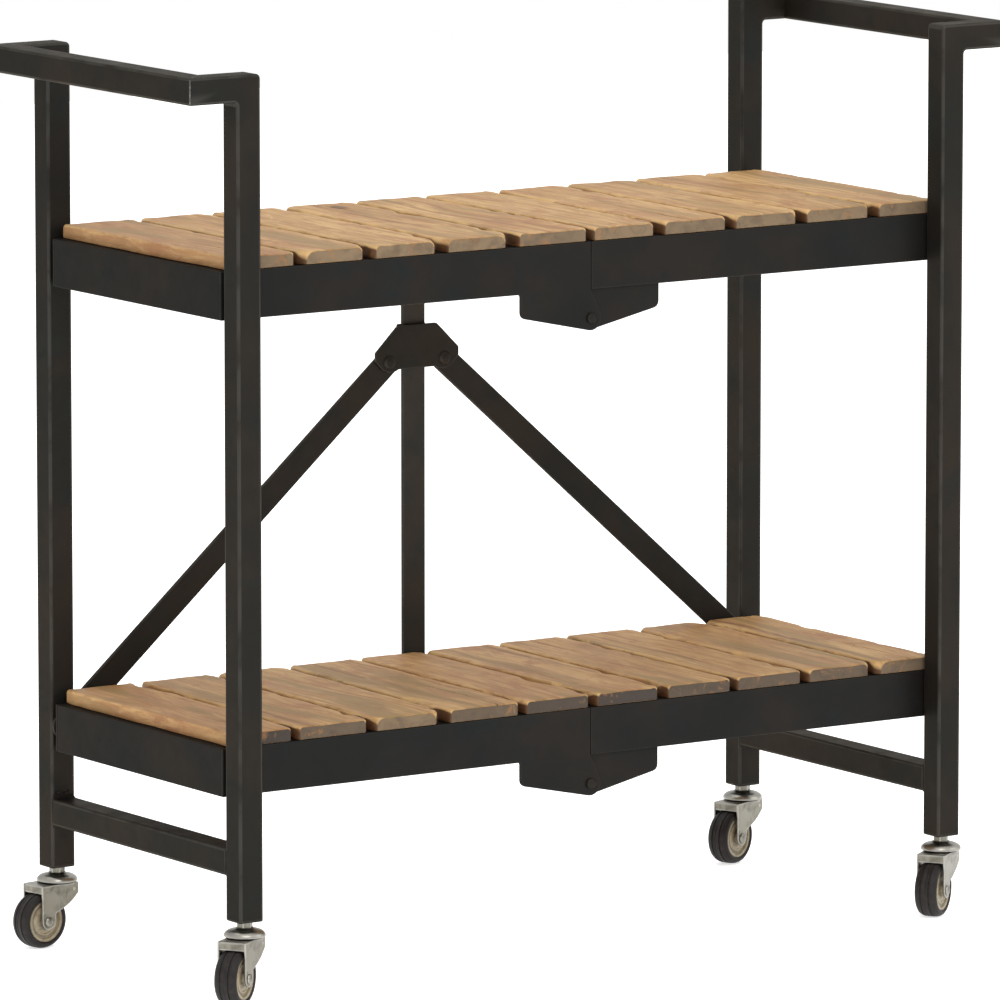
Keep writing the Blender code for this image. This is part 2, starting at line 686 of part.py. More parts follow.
def main():
    clear_scene()
    make_bodies()
    for side_name, side in SIDES.items():
        end = f"{side_name}_end"
        for row, y in (("front", -LEG_Y), ("rear", LEG_Y)):
            corner = f"{row}_{side_name}"
            make_leg(f"leg_{corner}", end, side * LEG_X, y)
            make_caster(corner, end, side * LEG_X, y)
            for shelf in SHELVES:
                make_pivot_bolt(f"{shelf}_{corner}_pivot_bolt", end, shelf, side * LEG_X, row == "front")
        make_handle(f"handle_{side_name}", end, side)
        make_stretcher(f"stretcher_{side_name}", end, side)
        make_brace(f"brace_{side_name}", f"{side_name}_brace", side)
        for shelf in SHELVES:
            half = f"{shelf}_{side_name}_half"
            make_frame(f"{shelf}_frame_{side_name}", half, shelf, side)
            make_planks(half, shelf, side)
    for shelf in SHELVES:
        for row in ("front", "rear"):
            make_hinge_pin(f"{shelf}_{row}_hinge_pin", f"{shelf}_left_half", shelf, row == "front")
    make_post("centre_post", "post")
    make_collar("brace_collar", "collar")


main()
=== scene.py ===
import json
import math

import bmesh
import bpy
from mathutils import Matrix, Vector, noise


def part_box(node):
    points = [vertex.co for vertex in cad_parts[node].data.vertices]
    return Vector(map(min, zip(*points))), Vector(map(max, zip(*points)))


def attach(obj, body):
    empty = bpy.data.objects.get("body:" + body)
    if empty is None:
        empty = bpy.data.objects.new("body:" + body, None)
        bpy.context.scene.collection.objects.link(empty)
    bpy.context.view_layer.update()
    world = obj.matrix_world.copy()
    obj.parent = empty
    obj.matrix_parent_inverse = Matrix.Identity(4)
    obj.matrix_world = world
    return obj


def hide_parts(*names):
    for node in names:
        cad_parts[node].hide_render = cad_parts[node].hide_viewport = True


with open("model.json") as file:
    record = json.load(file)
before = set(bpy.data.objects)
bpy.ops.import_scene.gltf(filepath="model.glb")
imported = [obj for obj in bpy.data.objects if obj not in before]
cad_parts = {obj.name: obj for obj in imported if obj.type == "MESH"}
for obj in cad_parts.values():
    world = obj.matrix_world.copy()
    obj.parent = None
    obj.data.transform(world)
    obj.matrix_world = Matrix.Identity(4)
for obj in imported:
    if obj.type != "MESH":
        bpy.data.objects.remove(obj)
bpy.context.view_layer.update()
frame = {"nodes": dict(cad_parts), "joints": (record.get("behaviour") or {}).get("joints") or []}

print("frame loaded,", len(frame["nodes"]), "nodes")


def extent(node):  # lowest, highest and middle corner of a node
    low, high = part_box(node)
    return low, high, (low + high) / 2


# where things are, all read from the frame
legLow, legHigh, legMid = extent("leg_front_left")
rearLegMid = extent("leg_rear_left")[2]
tubeSize = legHigh.x - legLow.x
legX = -legMid.x
legBottom = legLow.z
legTop = legHigh.z
frontLegY = legMid.y
rearLegY = rearLegMid.y
cartY = (frontLegY + rearLegY) / 2  # middle of the cart, front to rear
handleEnd = -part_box("handle_left")[0].x
stretcherLow, stretcherHigh, _ = extent("stretcher_left")
plankLow, plankHigh, _ = extent("upper_left_plank_1")
plankFront, plankRear = plankLow.y, plankHigh.y
plankThick = plankHigh.z - plankLow.z
shelfEnd = legX + tubeSize / 2
railTop = {shelf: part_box(shelf + "_left_plank_1")[0].z - 0.0003 for shelf in ("upper", "lower")}
pinZ = {shelf: extent(shelf + "_front_hinge_pin")[2].z for shelf in ("upper", "lower")}
sides = {"left": -1, "right": 1}
corners = ("front_left", "rear_left", "front_right", "rear_right")
rubWidth = 0.0011  # how far the rubbing of an edge reaches over the flats beside it


def newShape():
    shape = bmesh.new()
    shape.verts.layers.float.new("wear")  # 1 where an edge is rubbed, 0 on the flats
    return shape


def addRing(shape, points, wear):
    layer = shape.verts.layers.float["wear"]
    ring = []
    for point, amount in zip(points, wear):
        vert = shape.verts.new(point)
        vert[layer] = amount
        ring.append(vert)
    return ring


def joinRings(shape, rings):
    # rings of one count become a closed body, with a flat face at each end
    for ring, following in zip(rings, rings[1:]):
        count = len(ring)
        for index in range(count):
            other = (index + 1) % count
            shape.faces.new((ring[index], ring[other], following[other], following[index]))
    shape.faces.new(rings[0])
    shape.faces.new(list(reversed(rings[-1])))


def oblong(left, right, low, high, radius=0, rubbed=0):
    # outline of a rectangle whose corners are all alike
    return [(left, low, radius, rubbed), (right, low, radius, rubbed),
            (right, high, radius, rubbed), (left, high, radius, rubbed)]


def hexagon(radius, corner, rubbed=0, centre=(0, 0), start=0):
    points = []
    for step in range(6):
        angle = math.radians(60 * step + start)
        points.append((centre[0] + radius * math.cos(angle), centre[1] + radius * math.sin(angle),
                       corner, rubbed))
    return points


def cornerRing(outline, inset, steps, rim):
    # outline corners are (a, b, radius, wear), counterclockwise; a corner with no wear stays plain
    points, wear = [], []
    count = len(outline)
    for index, (a, b, radius, rubbed) in enumerate(outline):
        here = Vector((a, b))
        before = Vector(outline[index - 1][:2])
        after = Vector(outline[(index + 1) % count][:2])
        toHere = (here - before).normalized()
        toAfter = (after - here).normalized()
        inFirst = Vector((-toHere.y, toHere.x))
        inSecond = Vector((-toAfter.y, toAfter.x))
        spot = here + (inFirst + inSecond) / (1 + inFirst.dot(inSecond)) * inset
        if radius == 0 and rubbed == 0:
            points.append(spot)
            wear.append(0.0)
            continue
        turn = toHere.x * toAfter.y - toHere.y * toAfter.x
        bend = math.acos(max(-1.0, min(1.0, toHere.dot(toAfter))))
        convex = turn > 0
        size = max(radius - inset if convex else radius + inset, 0.0)
        reach = size * math.tan(bend / 2)
        centre = spot - toHere * reach + inFirst * (size if convex else -size)
        spoke = spot - toHere * reach - centre
        if rubbed:
            points.append(spot - toHere * (reach + rim))
            wear.append(0.0)
        for step in range(steps + 1):
            angle = bend * step / steps * (1 if convex else -1)
            turned = Vector((spoke.x * math.cos(angle) - spoke.y * math.sin(angle),
                             spoke.x * math.sin(angle) + spoke.y * math.cos(angle)))
            points.append(centre + turned)
            wear.append(float(rubbed))
        if rubbed:
            points.append(spot + toAfter * (reach + rim))
            wear.append(0.0)
    return points, wear


def slab(shape, outline, place, low, high, edge, edgeSteps=3, cornerSteps=4, rim=rubWidth):
    # an outline with depth from low to high and all its rims rounded by edge
    layers = []
    for step in range(edgeSteps + 1):
        angle = math.pi / 2 * step / edgeSteps
        layers.append((edge * (1 - math.sin(angle)), edge * (1 - math.cos(angle)), 1.0))
    start = [(edge + rim, 0.0, 0.0)] + layers
    if high - low > 2 * (edge + rim):
        start.append((0.0, edge + rim, 0.0))
    stack = [(inset, low + depth, amount) for inset, depth, amount in start]
    stack += [(inset, high - depth, amount) for inset, depth, amount in reversed(start)]
    rings = []
    for inset, depth, amount in stack:
        points, wear = cornerRing(outline, inset, cornerSteps, rim)
        if amount:
            wear = [max(value, amount) for value in wear]
        elif inset:
            wear = [0.0] * len(wear)
        rings.append(addRing(shape, [place(point.x, point.y, depth) for point in points], wear))
    joinRings(shape, rings)


def lathe(shape, profile, place, steps, wear=None):
    # profile points are radius and height; a point with no radius closes the shape on its axis
    wear = wear or [0.0] * len(profile)
    layer = shape.verts.layers.float["wear"]
    rings = []
    for (radius, height), amount in zip(profile, wear):
        if radius == 0:
            vert = shape.verts.new(place(0.0, 0.0, height))
            vert[layer] = amount
            rings.append([vert])
            continue
        points = []
        for step in range(steps):
            angle = 2 * math.pi * step / steps
            points.append(place(radius * math.cos(angle), radius * math.sin(angle), height))
        rings.append(addRing(shape, points, [amount] * steps))
    loop = rings + ([rings[0]] if len(rings[0]) > 1 else [])
    for ring, following in zip(loop, loop[1:]):
        for index in range(steps):
            other = (index + 1) % steps
            if len(ring) == 1:
                shape.faces.new((ring[0], following[other], following[index]))
            elif len(following) == 1:
                shape.faces.new((ring[index], ring[other], following[0]))
            else:
                shape.faces.new((ring[index], ring[other], following[other], following[index]))


# the way a shape's depth points
def alongX(a, b, c):
    return (c, a, b)


def alongY(a, b, c):
    return (a, c, b)


def alongZ(a, b, c):
    return (a, b, c)


def piece(name, shape, finish, body, stands=(), sharp=32, turn=None):
    # turn is a matrix that puts a shape drawn around its own origin in place
    bmesh.ops.remove_doubles(shape, verts=shape.verts, dist=2e-6)
    bmesh.ops.dissolve_degenerate(shape, edges=shape.edges, dist=1e-6)
    bmesh.ops.recalc_face_normals(shape, faces=shape.faces)
    mesh = bpy.data.meshes.new(name)
    shape.to_mesh(mesh)
    shape.free()
    mesh.shade_smooth()
    mesh.set_sharp_from_angle(angle=math.radians(sharp))
    mesh.materials.append(finish)
    made = bpy.data.objects.new(name, mesh)
    bpy.context.scene.collection.objects.link(made)
    if turn is not None:
        made.matrix_world = turn
    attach(made, body)
    if stands:
        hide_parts(*stands)
    return made


class Sheet:
    # a material's node sheet, with short ways to add and join nodes
    def __init__(self, name):
        self.material = bpy.data.materials.new(name)
        self.material.use_nodes = True
        self.tree = self.material.node_tree
        self.shader = self.tree.nodes["Principled BSDF"]

    def add(self, kind, **settings):
        node = self.tree.nodes.new(kind)
        for key, value in settings.items():
            setattr(node, key, value)
        return node

    def join(self, source, target):
        self.tree.links.new(source, target)

    def feed(self, socket, value):
        if isinstance(value, bpy.types.NodeSocket):
            self.join(value, socket)
        else:
            socket.default_value = value

    def attribute(self, name):
        return self.add("ShaderNodeAttribute", attribute_name=name).outputs["Fac"]

    def math(self, operation, first, second=0.0, clamp=False):
        node = self.add("ShaderNodeMath", operation=operation, use_clamp=clamp)
        self.feed(node.inputs[0], first)
        self.feed(node.inputs[1], second)
        return node.outputs[0]

    def place(self, scale=(1, 1, 1), shift=None, source=None):
        # object coordinates, stretched by scale
        if source is None:
            source = self.add("ShaderNodeTexCoord").outputs["Object"]
        mapping = self.add("ShaderNodeMapping")
        self.join(source, mapping.inputs["Vector"])
        mapping.inputs["Scale"].default_value = scale
        if shift is not None:
            self.feed(mapping.inputs["Location"], shift)
        return mapping.outputs["Vector"]

    def grainNoise(self, where, scale, detail=4.0, rough=0.55, distortion=0.0):
        node = self.add("ShaderNodeTexNoise")
        self.join(where, node.inputs["Vector"])
        node.inputs["Scale"].default_value = scale
        node.inputs["Detail"].default_value = detail
        node.inputs["Roughness"].default_value = rough
        node.inputs["Distortion"].default_value = distortion
        return node.outputs["Fac"]

    def band(self, value, low, high):
        # 0 below low, 1 above high
        node = self.add("ShaderNodeMapRange", interpolation_type="SMOOTHSTEP")
        self.join(value, node.inputs["Value"])
        node.inputs["From Min"].default_value = low
        node.inputs["From Max"].default_value = high
        return node.outputs["Result"]

    def spread(self, value, low, high):
        # 0 to 1 becomes low to high
        node = self.add("ShaderNodeMapRange")
        self.join(value, node.inputs["Value"])
        node.inputs["To Min"].default_value = low
        node.inputs["To Max"].default_value = high
        return node.outputs["Result"]

    def mix(self, share, first, second):
        node = self.add("ShaderNodeMix", data_type="RGBA")
        self.feed(node.inputs["Factor"], share)
        for socket, value in (("A", first), ("B", second)):
            isSocket = isinstance(value, bpy.types.NodeSocket)
            self.feed(node.inputs[socket], value if isSocket else (*value, 1.0))
        return node.outputs["Result"]

    def bump(self, height, strength, distance, under=None):
        node = self.add("ShaderNodeBump")
        node.inputs["Strength"].default_value = strength
        node.inputs["Distance"].default_value = distance
        self.join(height, node.inputs["Height"])
        if under is not None:
            self.join(under, node.inputs["Normal"])
        return node.outputs["Normal"]

    def set(self, **values):
        names = {"colour": "Base Color", "rough": "Roughness", "metal": "Metallic", "normal": "Normal",
                 "specular": "Specular IOR Level", "grazing": "Specular Tint"}
        for key, value in values.items():
            if isinstance(value, tuple):
                value = (*value, 1.0)
            self.feed(self.shader.inputs[names[key]], value)
        return self.material


blackSteel = {
    "body": (0.0185, 0.0178, 0.0158), "warm": (0.0262, 0.0210, 0.0170), "cool": (0.0170, 0.0205, 0.0200),
    "rub": (0.074, 0.070, 0.062), "metal": 0.6, "rough": (0.36, 0.50), "bump": 0.00006, "specular": 0.10,
    "grazing": (0.45, 0.42, 0.36),
    "cloudScale": 9.0, "patchScale": 22.0, "brokenScale": 26.0, "streakScale": 70.0, "fineScale": 900.0,
    "coolShare": 0.7, "rubShare": 0.45, "patchDepth": 1.2, "fineDepth": 0.5,
}


def makeBlackSteel(name, rub=1.0, lift=1.0, tint=(1, 1, 1)):
    # hand-blackened mill steel under a thin satin lacquer, with rubbed edges
    s = Sheet(name)
    where = s.place()
    cloud = s.grainNoise(where, blackSteel["cloudScale"], 3.0, 0.6)
    patch = s.grainNoise(s.place(shift=(3.1, 7.7, 1.3)), blackSteel["patchScale"], 4.0, 0.65, 0.4)
    fine = s.grainNoise(where, blackSteel["fineScale"], 2.0, 0.6)
    streak = s.grainNoise(where, blackSteel["streakScale"], 3.0, 0.6)
    body, warm, cool = [[level * lift * share for level, share in zip(blackSteel[key], tint)]
                        for key in ("body", "warm", "cool")]
    tone = s.mix(s.band(cloud, 0.35, 0.68), body, warm)
    tone = s.mix(s.math("MULTIPLY", s.band(patch, 0.5, 0.75), blackSteel["coolShare"]), tone, cool)
    rubbed = s.band(s.attribute("wear"), 0.5, 1.0)
    gaps = s.grainNoise(s.place(shift=(0.4, 0.2, 5.0)), blackSteel["brokenScale"], 3.0, 0.6)
    share = s.math("MULTIPLY", rubbed, s.band(gaps, 0.22, 0.60))
    share = s.math("MULTIPLY", share, blackSteel["rubShare"] * rub, clamp=True)
    tone = s.mix(share, tone, blackSteel["rub"])
    low, high = blackSteel["rough"]
    rough = s.math("SUBTRACT", s.spread(s.math("MULTIPLY", patch, streak), low, high + 0.3),
                   s.math("MULTIPLY", share, 0.1))
    height = s.math("ADD", s.math("MULTIPLY", fine, blackSteel["fineDepth"]),
                    s.math("MULTIPLY", patch, blackSteel["patchDepth"]))
    return s.set(colour=tone, rough=rough, metal=blackSteel["metal"], grazing=blackSteel["grazing"],
                 normal=s.bump(height, 0.35, blackSteel["bump"]), specular=blackSteel["specular"])


weldSteel = {"body": (0.17, 0.162, 0.148), "dark": (0.05, 0.045, 0.04)}


def makeWeldSteel():
    # weld metal, ground back with a file
    s = Sheet("groundWeld")
    ripple = s.grainNoise(s.place(), 420.0, 3.0, 0.6)
    tone = s.mix(s.band(ripple, 0.38, 0.62), weldSteel["dark"], weldSteel["body"])
    return s.set(colour=tone, rough=s.spread(ripple, 0.3, 0.55), metal=0.7,
                 normal=s.bump(ripple, 0.5, 0.0002))


zincPlate = {"bright": (0.225, 0.216, 0.180), "dull": (0.100, 0.095, 0.078), "warm": (0.17, 0.137, 0.095),
             "rub": (0.62, 0.61, 0.57)}


def makeZinc(name, rough, warm=0.15):
    # bright zinc plating with finger marks and thin yellow passivation
    s = Sheet(name)
    where = s.place()
    cloud = s.grainNoise(where, 70.0, 4.0, 0.6, 0.5)
    fine = s.grainNoise(where, 700.0, 3.0, 0.7)
    tint = s.grainNoise(s.place(shift=(8.0, 2.0, 3.0)), 45.0, 2.0)
    tone = s.mix(s.band(cloud, 0.42, 0.72), zincPlate["bright"], zincPlate["dull"])
    tone = s.mix(s.math("MULTIPLY", s.band(tint, 0.45, 0.7), warm), tone, zincPlate["warm"])
    rub = s.math("MULTIPLY", s.attribute("wear"), 0.35)
    tone = s.mix(rub, tone, zincPlate["rub"])
    speck = s.math("MULTIPLY", fine, 0.4)
    haze = s.math("ADD", s.math("MULTIPLY", cloud, 0.6), speck)
    return s.set(colour=tone, rough=s.spread(haze, *rough), metal=1.0,
                 normal=s.bump(s.math("ADD", cloud, speck), 0.25, 0.00015))


tyreRubber = {"body": (0.0105, 0.0080, 0.0072), "dust": (0.036, 0.030, 0.026)}


def makeTyreRubber():
    # black rubber with road dust on the tread
    s = Sheet("tyreRubber")
    where = s.place()
    dust = s.grainNoise(where, 160.0, 5.0, 0.7)
    fine = s.grainNoise(where, 1400.0, 2.0, 0.6)
    tread = s.math("ADD", s.math("MULTIPLY", s.attribute("wear"), 0.6), 0.2)
    share = s.math("MULTIPLY", s.band(dust, 0.45, 0.8), tread)
    height = s.math("ADD", dust, s.math("MULTIPLY", fine, 0.4))
    tone = s.mix(share, tyreRubber["body"], tyreRubber["dust"])
    return s.set(colour=tone, rough=s.spread(dust, 0.42, 0.68), metal=0.0, specular=0.25,
                 normal=s.bump(height, 0.3, 0.0002))


hubPlastic = {"body": (0.37, 0.310, 0.200), "shade": (0.19, 0.150, 0.092), "grime": (0.06, 0.046, 0.030)}


def makeHubPlastic():
    # moulded hub, warm grey, with grime in its grooves
    s = Sheet("hubPlastic")
    where = s.place()
    flow = s.grainNoise(where, 120.0, 4.0, 0.6, 0.8)
    tone = s.mix(s.band(flow, 0.35, 0.7), hubPlastic["body"], hubPlastic["shade"])
    tone = s.mix(s.math("MULTIPLY", s.attribute("wear"), 0.75), tone, hubPlastic["grime"])
    return s.set(colour=tone, rough=s.spread(flow, 0.35, 0.55), metal=0.0,
                 normal=s.bump(flow, 0.2, 0.0002))


plankWood = {
    "bright": (0.585, 0.378, 0.160), "pale": (0.480, 0.295, 0.118), "base": (0.375, 0.212, 0.078),
    "warm": (0.262, 0.122, 0.040), "dark": (0.085, 0.040, 0.016), "pink": (0.390, 0.222, 0.118),
    # the end colours are grey end grain held dark as painted shade on the upright ends
    "olive": (0.225, 0.145, 0.052), "red": (0.300, 0.128, 0.048), "endPaleShaded": (0.175, 0.122, 0.070),
    # the gap colour is brown painted shade on the walls between planks
    "endGreyShaded": (0.042, 0.031, 0.024), "crack": (0.040, 0.018, 0.008), "gapShadeBrown": (0.058, 0.021, 0.006),
}
# noises that run with the grain: stretch, scale, detail, roughness, distortion
woodNoises = {
    "cloud": (0.30, 18.0, 3.0, 0.6, 0.6), "patch": (0.45, 26.0, 4.0, 0.65, 0.8),
    "stripe": (0.022, 95.0, 3.0, 0.55, 0.0), "mottle": (0.14, 150.0, 4.0, 0.7, 0.8),
    "fleck": (0.22, 75.0, 4.0, 0.75, 1.2), "broad": (0.10, 38.0, 3.0, 0.6, 0.3),
    "fibre": (0.035, 420.0, 4.0, 0.65, 0.0), "pores": (0.06, 1500.0, 2.0, 0.6, 0.0),
    "stain": (0.35, 55.0, 5.0, 0.72, 1.4),
}
fleckStart, fleckFull = 0.66, 0.72
# tones laid over the board one after another: noise, where it starts, where it is full, strength, colour
woodTones = [
    ("patch", 0.52, 0.64, 0.70, "red"), ("patch", 0.46, 0.34, 0.50, "bright"),
    ("rings", 0.55, 1.00, 0.48, "warm"), ("blotch", 0.55, 0.74, 0.55, "pink"),
    ("tint", 0.0, 1.0, 0.55, "red"), ("tint", 0.0, -1.0, 0.60, "pale"),
    ("stripe", 0.52, 0.66, 0.70, "warm"), ("stripe", 0.63, 0.74, 0.62, "dark"),
    ("mottle", 0.50, 0.64, 0.55, "pale"), ("mottle", 0.46, 0.34, 0.60, "warm"),
    ("fleck", fleckStart, fleckFull, 0.62, "dark"), ("broad", 0.50, 0.64, 0.70, "olive"),
    ("fibre", 0.46, 0.80, 0.40, "warm"), ("pores", 0.60, 0.80, 0.30, "dark"),
]
# how far each thing stands out of the surface or sinks into it
woodRelief = {"fibre": 0.8, "pores": -0.35, "splits": -1.6, "knots": -0.6, "flecks": -0.9, "rings": 0.35}


def makePlankWood():
    # rough-sawn reclaimed hardwood: grain along Y, end grain on the ends, knots, cracks and worn rims
    s = Sheet("plankWood")
    seed = s.attribute("seed")
    shift = s.add("ShaderNodeCombineXYZ")
    for socket, share in zip(shift.inputs, (3.7, 11.3, 5.1)):  # every plank is cut from another place
        s.join(s.math("MULTIPLY", seed, share), socket)
    offset = shift.outputs[0]
    drift = s.grainNoise(s.place((1, 0.35, 1), offset), 11.0, 2.0, 0.5)  # slow wander of the grain
    wander = s.add("ShaderNodeVectorMath", operation="MULTIPLY_ADD")
    push = s.add("ShaderNodeCombineXYZ")
    s.join(s.math("SUBTRACT", drift, 0.5), push.inputs[0])
    s.join(push.outputs[0], wander.inputs[0])
    wander.inputs[1].default_value = (0.045, 0.045, 0.045)
    s.join(s.add("ShaderNodeTexCoord").outputs["Object"], wander.inputs[2])
    flowing = wander.outputs[0]
    knots = s.add("ShaderNodeTexVoronoi", feature="F1")
    s.join(s.place((1, 0.6, 1), offset, flowing), knots.inputs["Vector"])
    knots.inputs["Scale"].default_value = 7.5
    knotCore, knotHalo = [s.math("SUBTRACT", 1.0, s.band(knots.outputs["Distance"], near, far), clamp=True)
                          for near, far in ((0.035, 0.085), (0.06, 0.34))]
    # growth rings as long bands
    rings = s.add("ShaderNodeTexWave", wave_type="BANDS", bands_direction="X", wave_profile="SAW")
    s.join(s.place((1, 0.05, 0.5), offset, flowing), rings.inputs["Vector"])
    for name, value in {"Scale": 26.0, "Distortion": 7.5, "Detail": 3.0, "Detail Scale": 1.6}.items():
        rings.inputs[name].default_value = value
    blotch = s.grainNoise(s.place((1, 0.55, 1), offset), 30.0, 4.0, 0.7, 1.0)
    source = {"rings": rings.outputs["Fac"], "blotch": blotch, "tint": s.attribute("tint")}
    for name, (stretch, *settings) in woodNoises.items():
        source[name] = s.grainNoise(s.place((1, stretch, 1), offset, flowing), *settings)

    def paint(tone, share, strength, colour):
        return s.mix(s.math("MULTIPLY", share, strength), tone, plankWood[colour])

    tone = s.mix(s.band(source["cloud"], 0.36, 0.66), plankWood["base"], plankWood["pale"])
    for name, start, full, strength, colour in woodTones:
        tone = paint(tone, s.band(source[name], start, full), strength, colour)
    tone = paint(tone, knotHalo, 0.42, "warm")
    tone = paint(tone, knotCore, 0.80, "dark")
    # the ends show end grain, held darker as painted shade on the upright ends; the walls in the gaps get
    # brown painted shade
    isEnd = s.band(s.attribute("end"), 0.15, 0.75)
    growth = s.add("ShaderNodeTexWave", wave_type="RINGS", rings_direction="Y", wave_profile="SIN")
    s.join(s.place((0.5, 1, 1.0), offset), growth.inputs["Vector"])
    growth.inputs["Scale"].default_value = 60.0
    growth.inputs["Distortion"].default_value = 3.0
    endNoise = s.grainNoise(s.place(shift=offset), 60.0, 4.0, 0.65, 0.6)
    # end-grain colours, darkened as painted shade on the upright ends
    endGrainAndShadeTone = paint(plankWood["endPaleShaded"], s.band(endNoise, 0.42, 0.70), 0.45, "endGreyShaded")
    endGrainAndShadeTone = paint(endGrainAndShadeTone, growth.outputs["Fac"], 0.08, "warm")
    # each plank's front end darkened towards the end grey: grey end grain and painted shade, strongest on the
    # lower shelf
    endGrainAndShadeTone = s.mix(s.attribute("endGreyAndPaintedShade"), endGrainAndShadeTone, plankWood["endGreyShaded"])
    # brown painted shade on the walls in the gaps between planks, strongest near the front end
    tone = paint(tone, s.attribute("gap"), 0.95, "gapShadeBrown")
    tone = s.mix(isEnd, tone, endGrainAndShadeTone)
    # worn rims are paler, stains and cracks darker
    worn = s.math("MULTIPLY", s.attribute("wear"), s.band(blotch, 0.35, 0.6))
    worn = s.math("MULTIPLY", worn, s.math("SUBTRACT", 1.0, isEnd))
    tone = paint(tone, worn, 0.6, "bright")
    tone = paint(tone, s.band(source["stain"], 0.56, 0.68), 0.62, "warm")
    splitAt = s.grainNoise(s.place((1, 0.012, 0.2), offset, flowing), 130.0, 2.0, 0.5)
    splits = s.math("MULTIPLY", s.band(splitAt, 0.765, 0.80), s.band(blotch, 0.40, 0.58))
    tone = paint(tone, splits, 0.85, "crack")
    tone = paint(tone, s.attribute("deep"), 0.85, "crack")
    rough = s.math("ADD", s.spread(source["fibre"], 0.50, 0.66), s.math("MULTIPLY", isEnd, 0.15))
    source.update(splits=splits, knots=knotCore, flecks=s.band(source["fleck"], fleckStart, fleckFull))
    height = 0.0
    for name, amount in woodRelief.items():
        height = s.math("ADD", height, s.math("MULTIPLY", source[name], amount))
    coarse = s.bump(blotch, 0.35, 0.0012)
    return s.set(colour=tone, rough=rough, metal=0.0, specular=0.32,
                 normal=s.bump(height, 0.55, 0.0007, coarse))


steel = makeBlackSteel("blackSteel")
steelPlain = makeBlackSteel("blackSteelFittings", rub=0.6)
railSteel = makeBlackSteel("blackSteelRails", rub=0.25, lift=0.84, tint=(0.96, 1.03, 1.12))
# a brighter copy of the black steel for the post: painted light
postSteelPaintedLight = makeBlackSteel("blackSteelPostPaintedLight", rub=0.7, lift=1.6)
weld = makeWeldSteel()
blackWeld = makeBlackSteel("blackenedWeld", rub=0.5, lift=1.15)
zinc = makeZinc("zincPlate", rough=(0.24, 0.42))
zincBolt = makeZinc("zincBolt", warm=0.5, rough=(0.3, 0.5))
tyre = makeTyreRubber()
hub = makeHubPlastic()
wood = makePlankWood()
print("finishes made")


tubing = {
    "edge": 0.0021, "bendOut": 0.0042, "bendIn": 0.0035, "foot": 0.0016, "lap": 0.0006,
    "seam": 0.0008, "seamSunk": 0.35, "seamEnd": 0.0012,  # the mitre's weld: radius, sunk share, stop
    "filletOver": (0.0042, 0.0044), "filletUnder": (0.0024, -0.0026),  # size along the bar and upwards
    "bead": 0.0008, "drop": 0.0013, "drops": ((-0.006, 0.0052), (0.0015, 0.0046), (0.0055, 0.0058)),
}


def makeLeg(side, sideName, row):
    # leg and handle arm, bent from one outline; the arm ends in a mitre
    legY = frontLegY if row == "front" else rearLegY
    out = -1 if row == "front" else 1
    half = tubeSize / 2
    face = legY + out * half
    inner, outer = legX - half, legX + half
    armBottom = legTop - tubeSize
    outline = [(inner, legBottom, tubing["foot"], 1), (outer, legBottom, tubing["foot"], 1),
               (outer, armBottom, tubing["bendIn"], 1), (handleEnd, armBottom, 0, 0),
               (handleEnd, legTop, 0, 0), (inner, legTop, tubing["bendOut"], 1)]

    def place(a, b, c):
        if a > handleEnd - tubing["edge"] * 2:
            a = handleEnd - abs(c - face)
        return (side * a, c, b)

    shape = newShape()
    slab(shape, outline, place, legY - half, legY + half, tubing["edge"])
    name = "leg" + row.capitalize() + sideName.capitalize()
    return piece(name, shape, steel, sideName + "_end", [f"leg_{row}_{sideName}"])


def makeHandleBar(side, sideName):
    outline = oblong(handleEnd - tubeSize, handleEnd, legTop - tubeSize, legTop, tubing["edge"], 1)
    points, wear = cornerRing(outline, 0.0, 4, rubWidth)
    shape = newShape()
    rings = []
    for out, legY in ((-1, frontLegY), (1, rearLegY)):
        end = legY + out * tubeSize / 2
        rings.append(addRing(shape, [(side * point.x, end - out * (handleEnd - point.x), point.y)
                                     for point in points], wear))
    joinRings(shape, rings)
    return piece("handleBar" + sideName.capitalize(), shape, steel, sideName + "_end",
                 ["handle_" + sideName])


def bead(shape, start, end, radius, steps=6, lumps=10, seed=0.0):
    # a weld bead: a thin rod whose girth wanders
    start, end = Vector(start), Vector(end)
    along = (end - start).normalized()
    across = along.orthogonal().normalized()
    other = along.cross(across)
    rings = []
    for lump in range(lumps + 1):
        share = lump / lumps
        girth = radius * (0.85 + 0.35 * noise.noise(Vector((share * lumps * 0.9, seed, 4.2))))
        girth *= 0.35 if lump in (0, lumps) else 1.0
        centre = start + (end - start) * share
        points = [centre + (across * math.cos(angle) + other * math.sin(angle)) * girth
                  for angle in (2 * math.pi * step / steps for step in range(steps))]
        rings.append(addRing(shape, points, [1.0] * steps))
    joinRings(shape, rings)


def makeHandleSeams(side, sideName):
    # ground welds of the mitres, at the corners and across the top and bottom
    shape = newShape()
    radius, stop = tubing["seam"], tubing["seamEnd"]
    sunk = radius * tubing["seamSunk"]
    for out, legY in ((-1, frontLegY), (1, rearLegY)):
        corner = legY + out * tubeSize / 2
        x = side * (handleEnd - sunk)
        y = corner - out * sunk
        bead(shape, (x, y, legTop - tubeSize + stop), (x, y, legTop - stop), radius, seed=corner)
        for height in (legTop - sunk, legTop - tubeSize + sunk):
            bead(shape, (side * (handleEnd - 0.002), corner - out * 0.002, height),
                 (side * (handleEnd - tubeSize + 0.001), corner - out * (tubeSize - 0.001), height),
                 radius * 0.55, lumps=14, seed=height)
    return piece("handleSeams" + sideName.capitalize(), shape, weld, sideName + "_end")


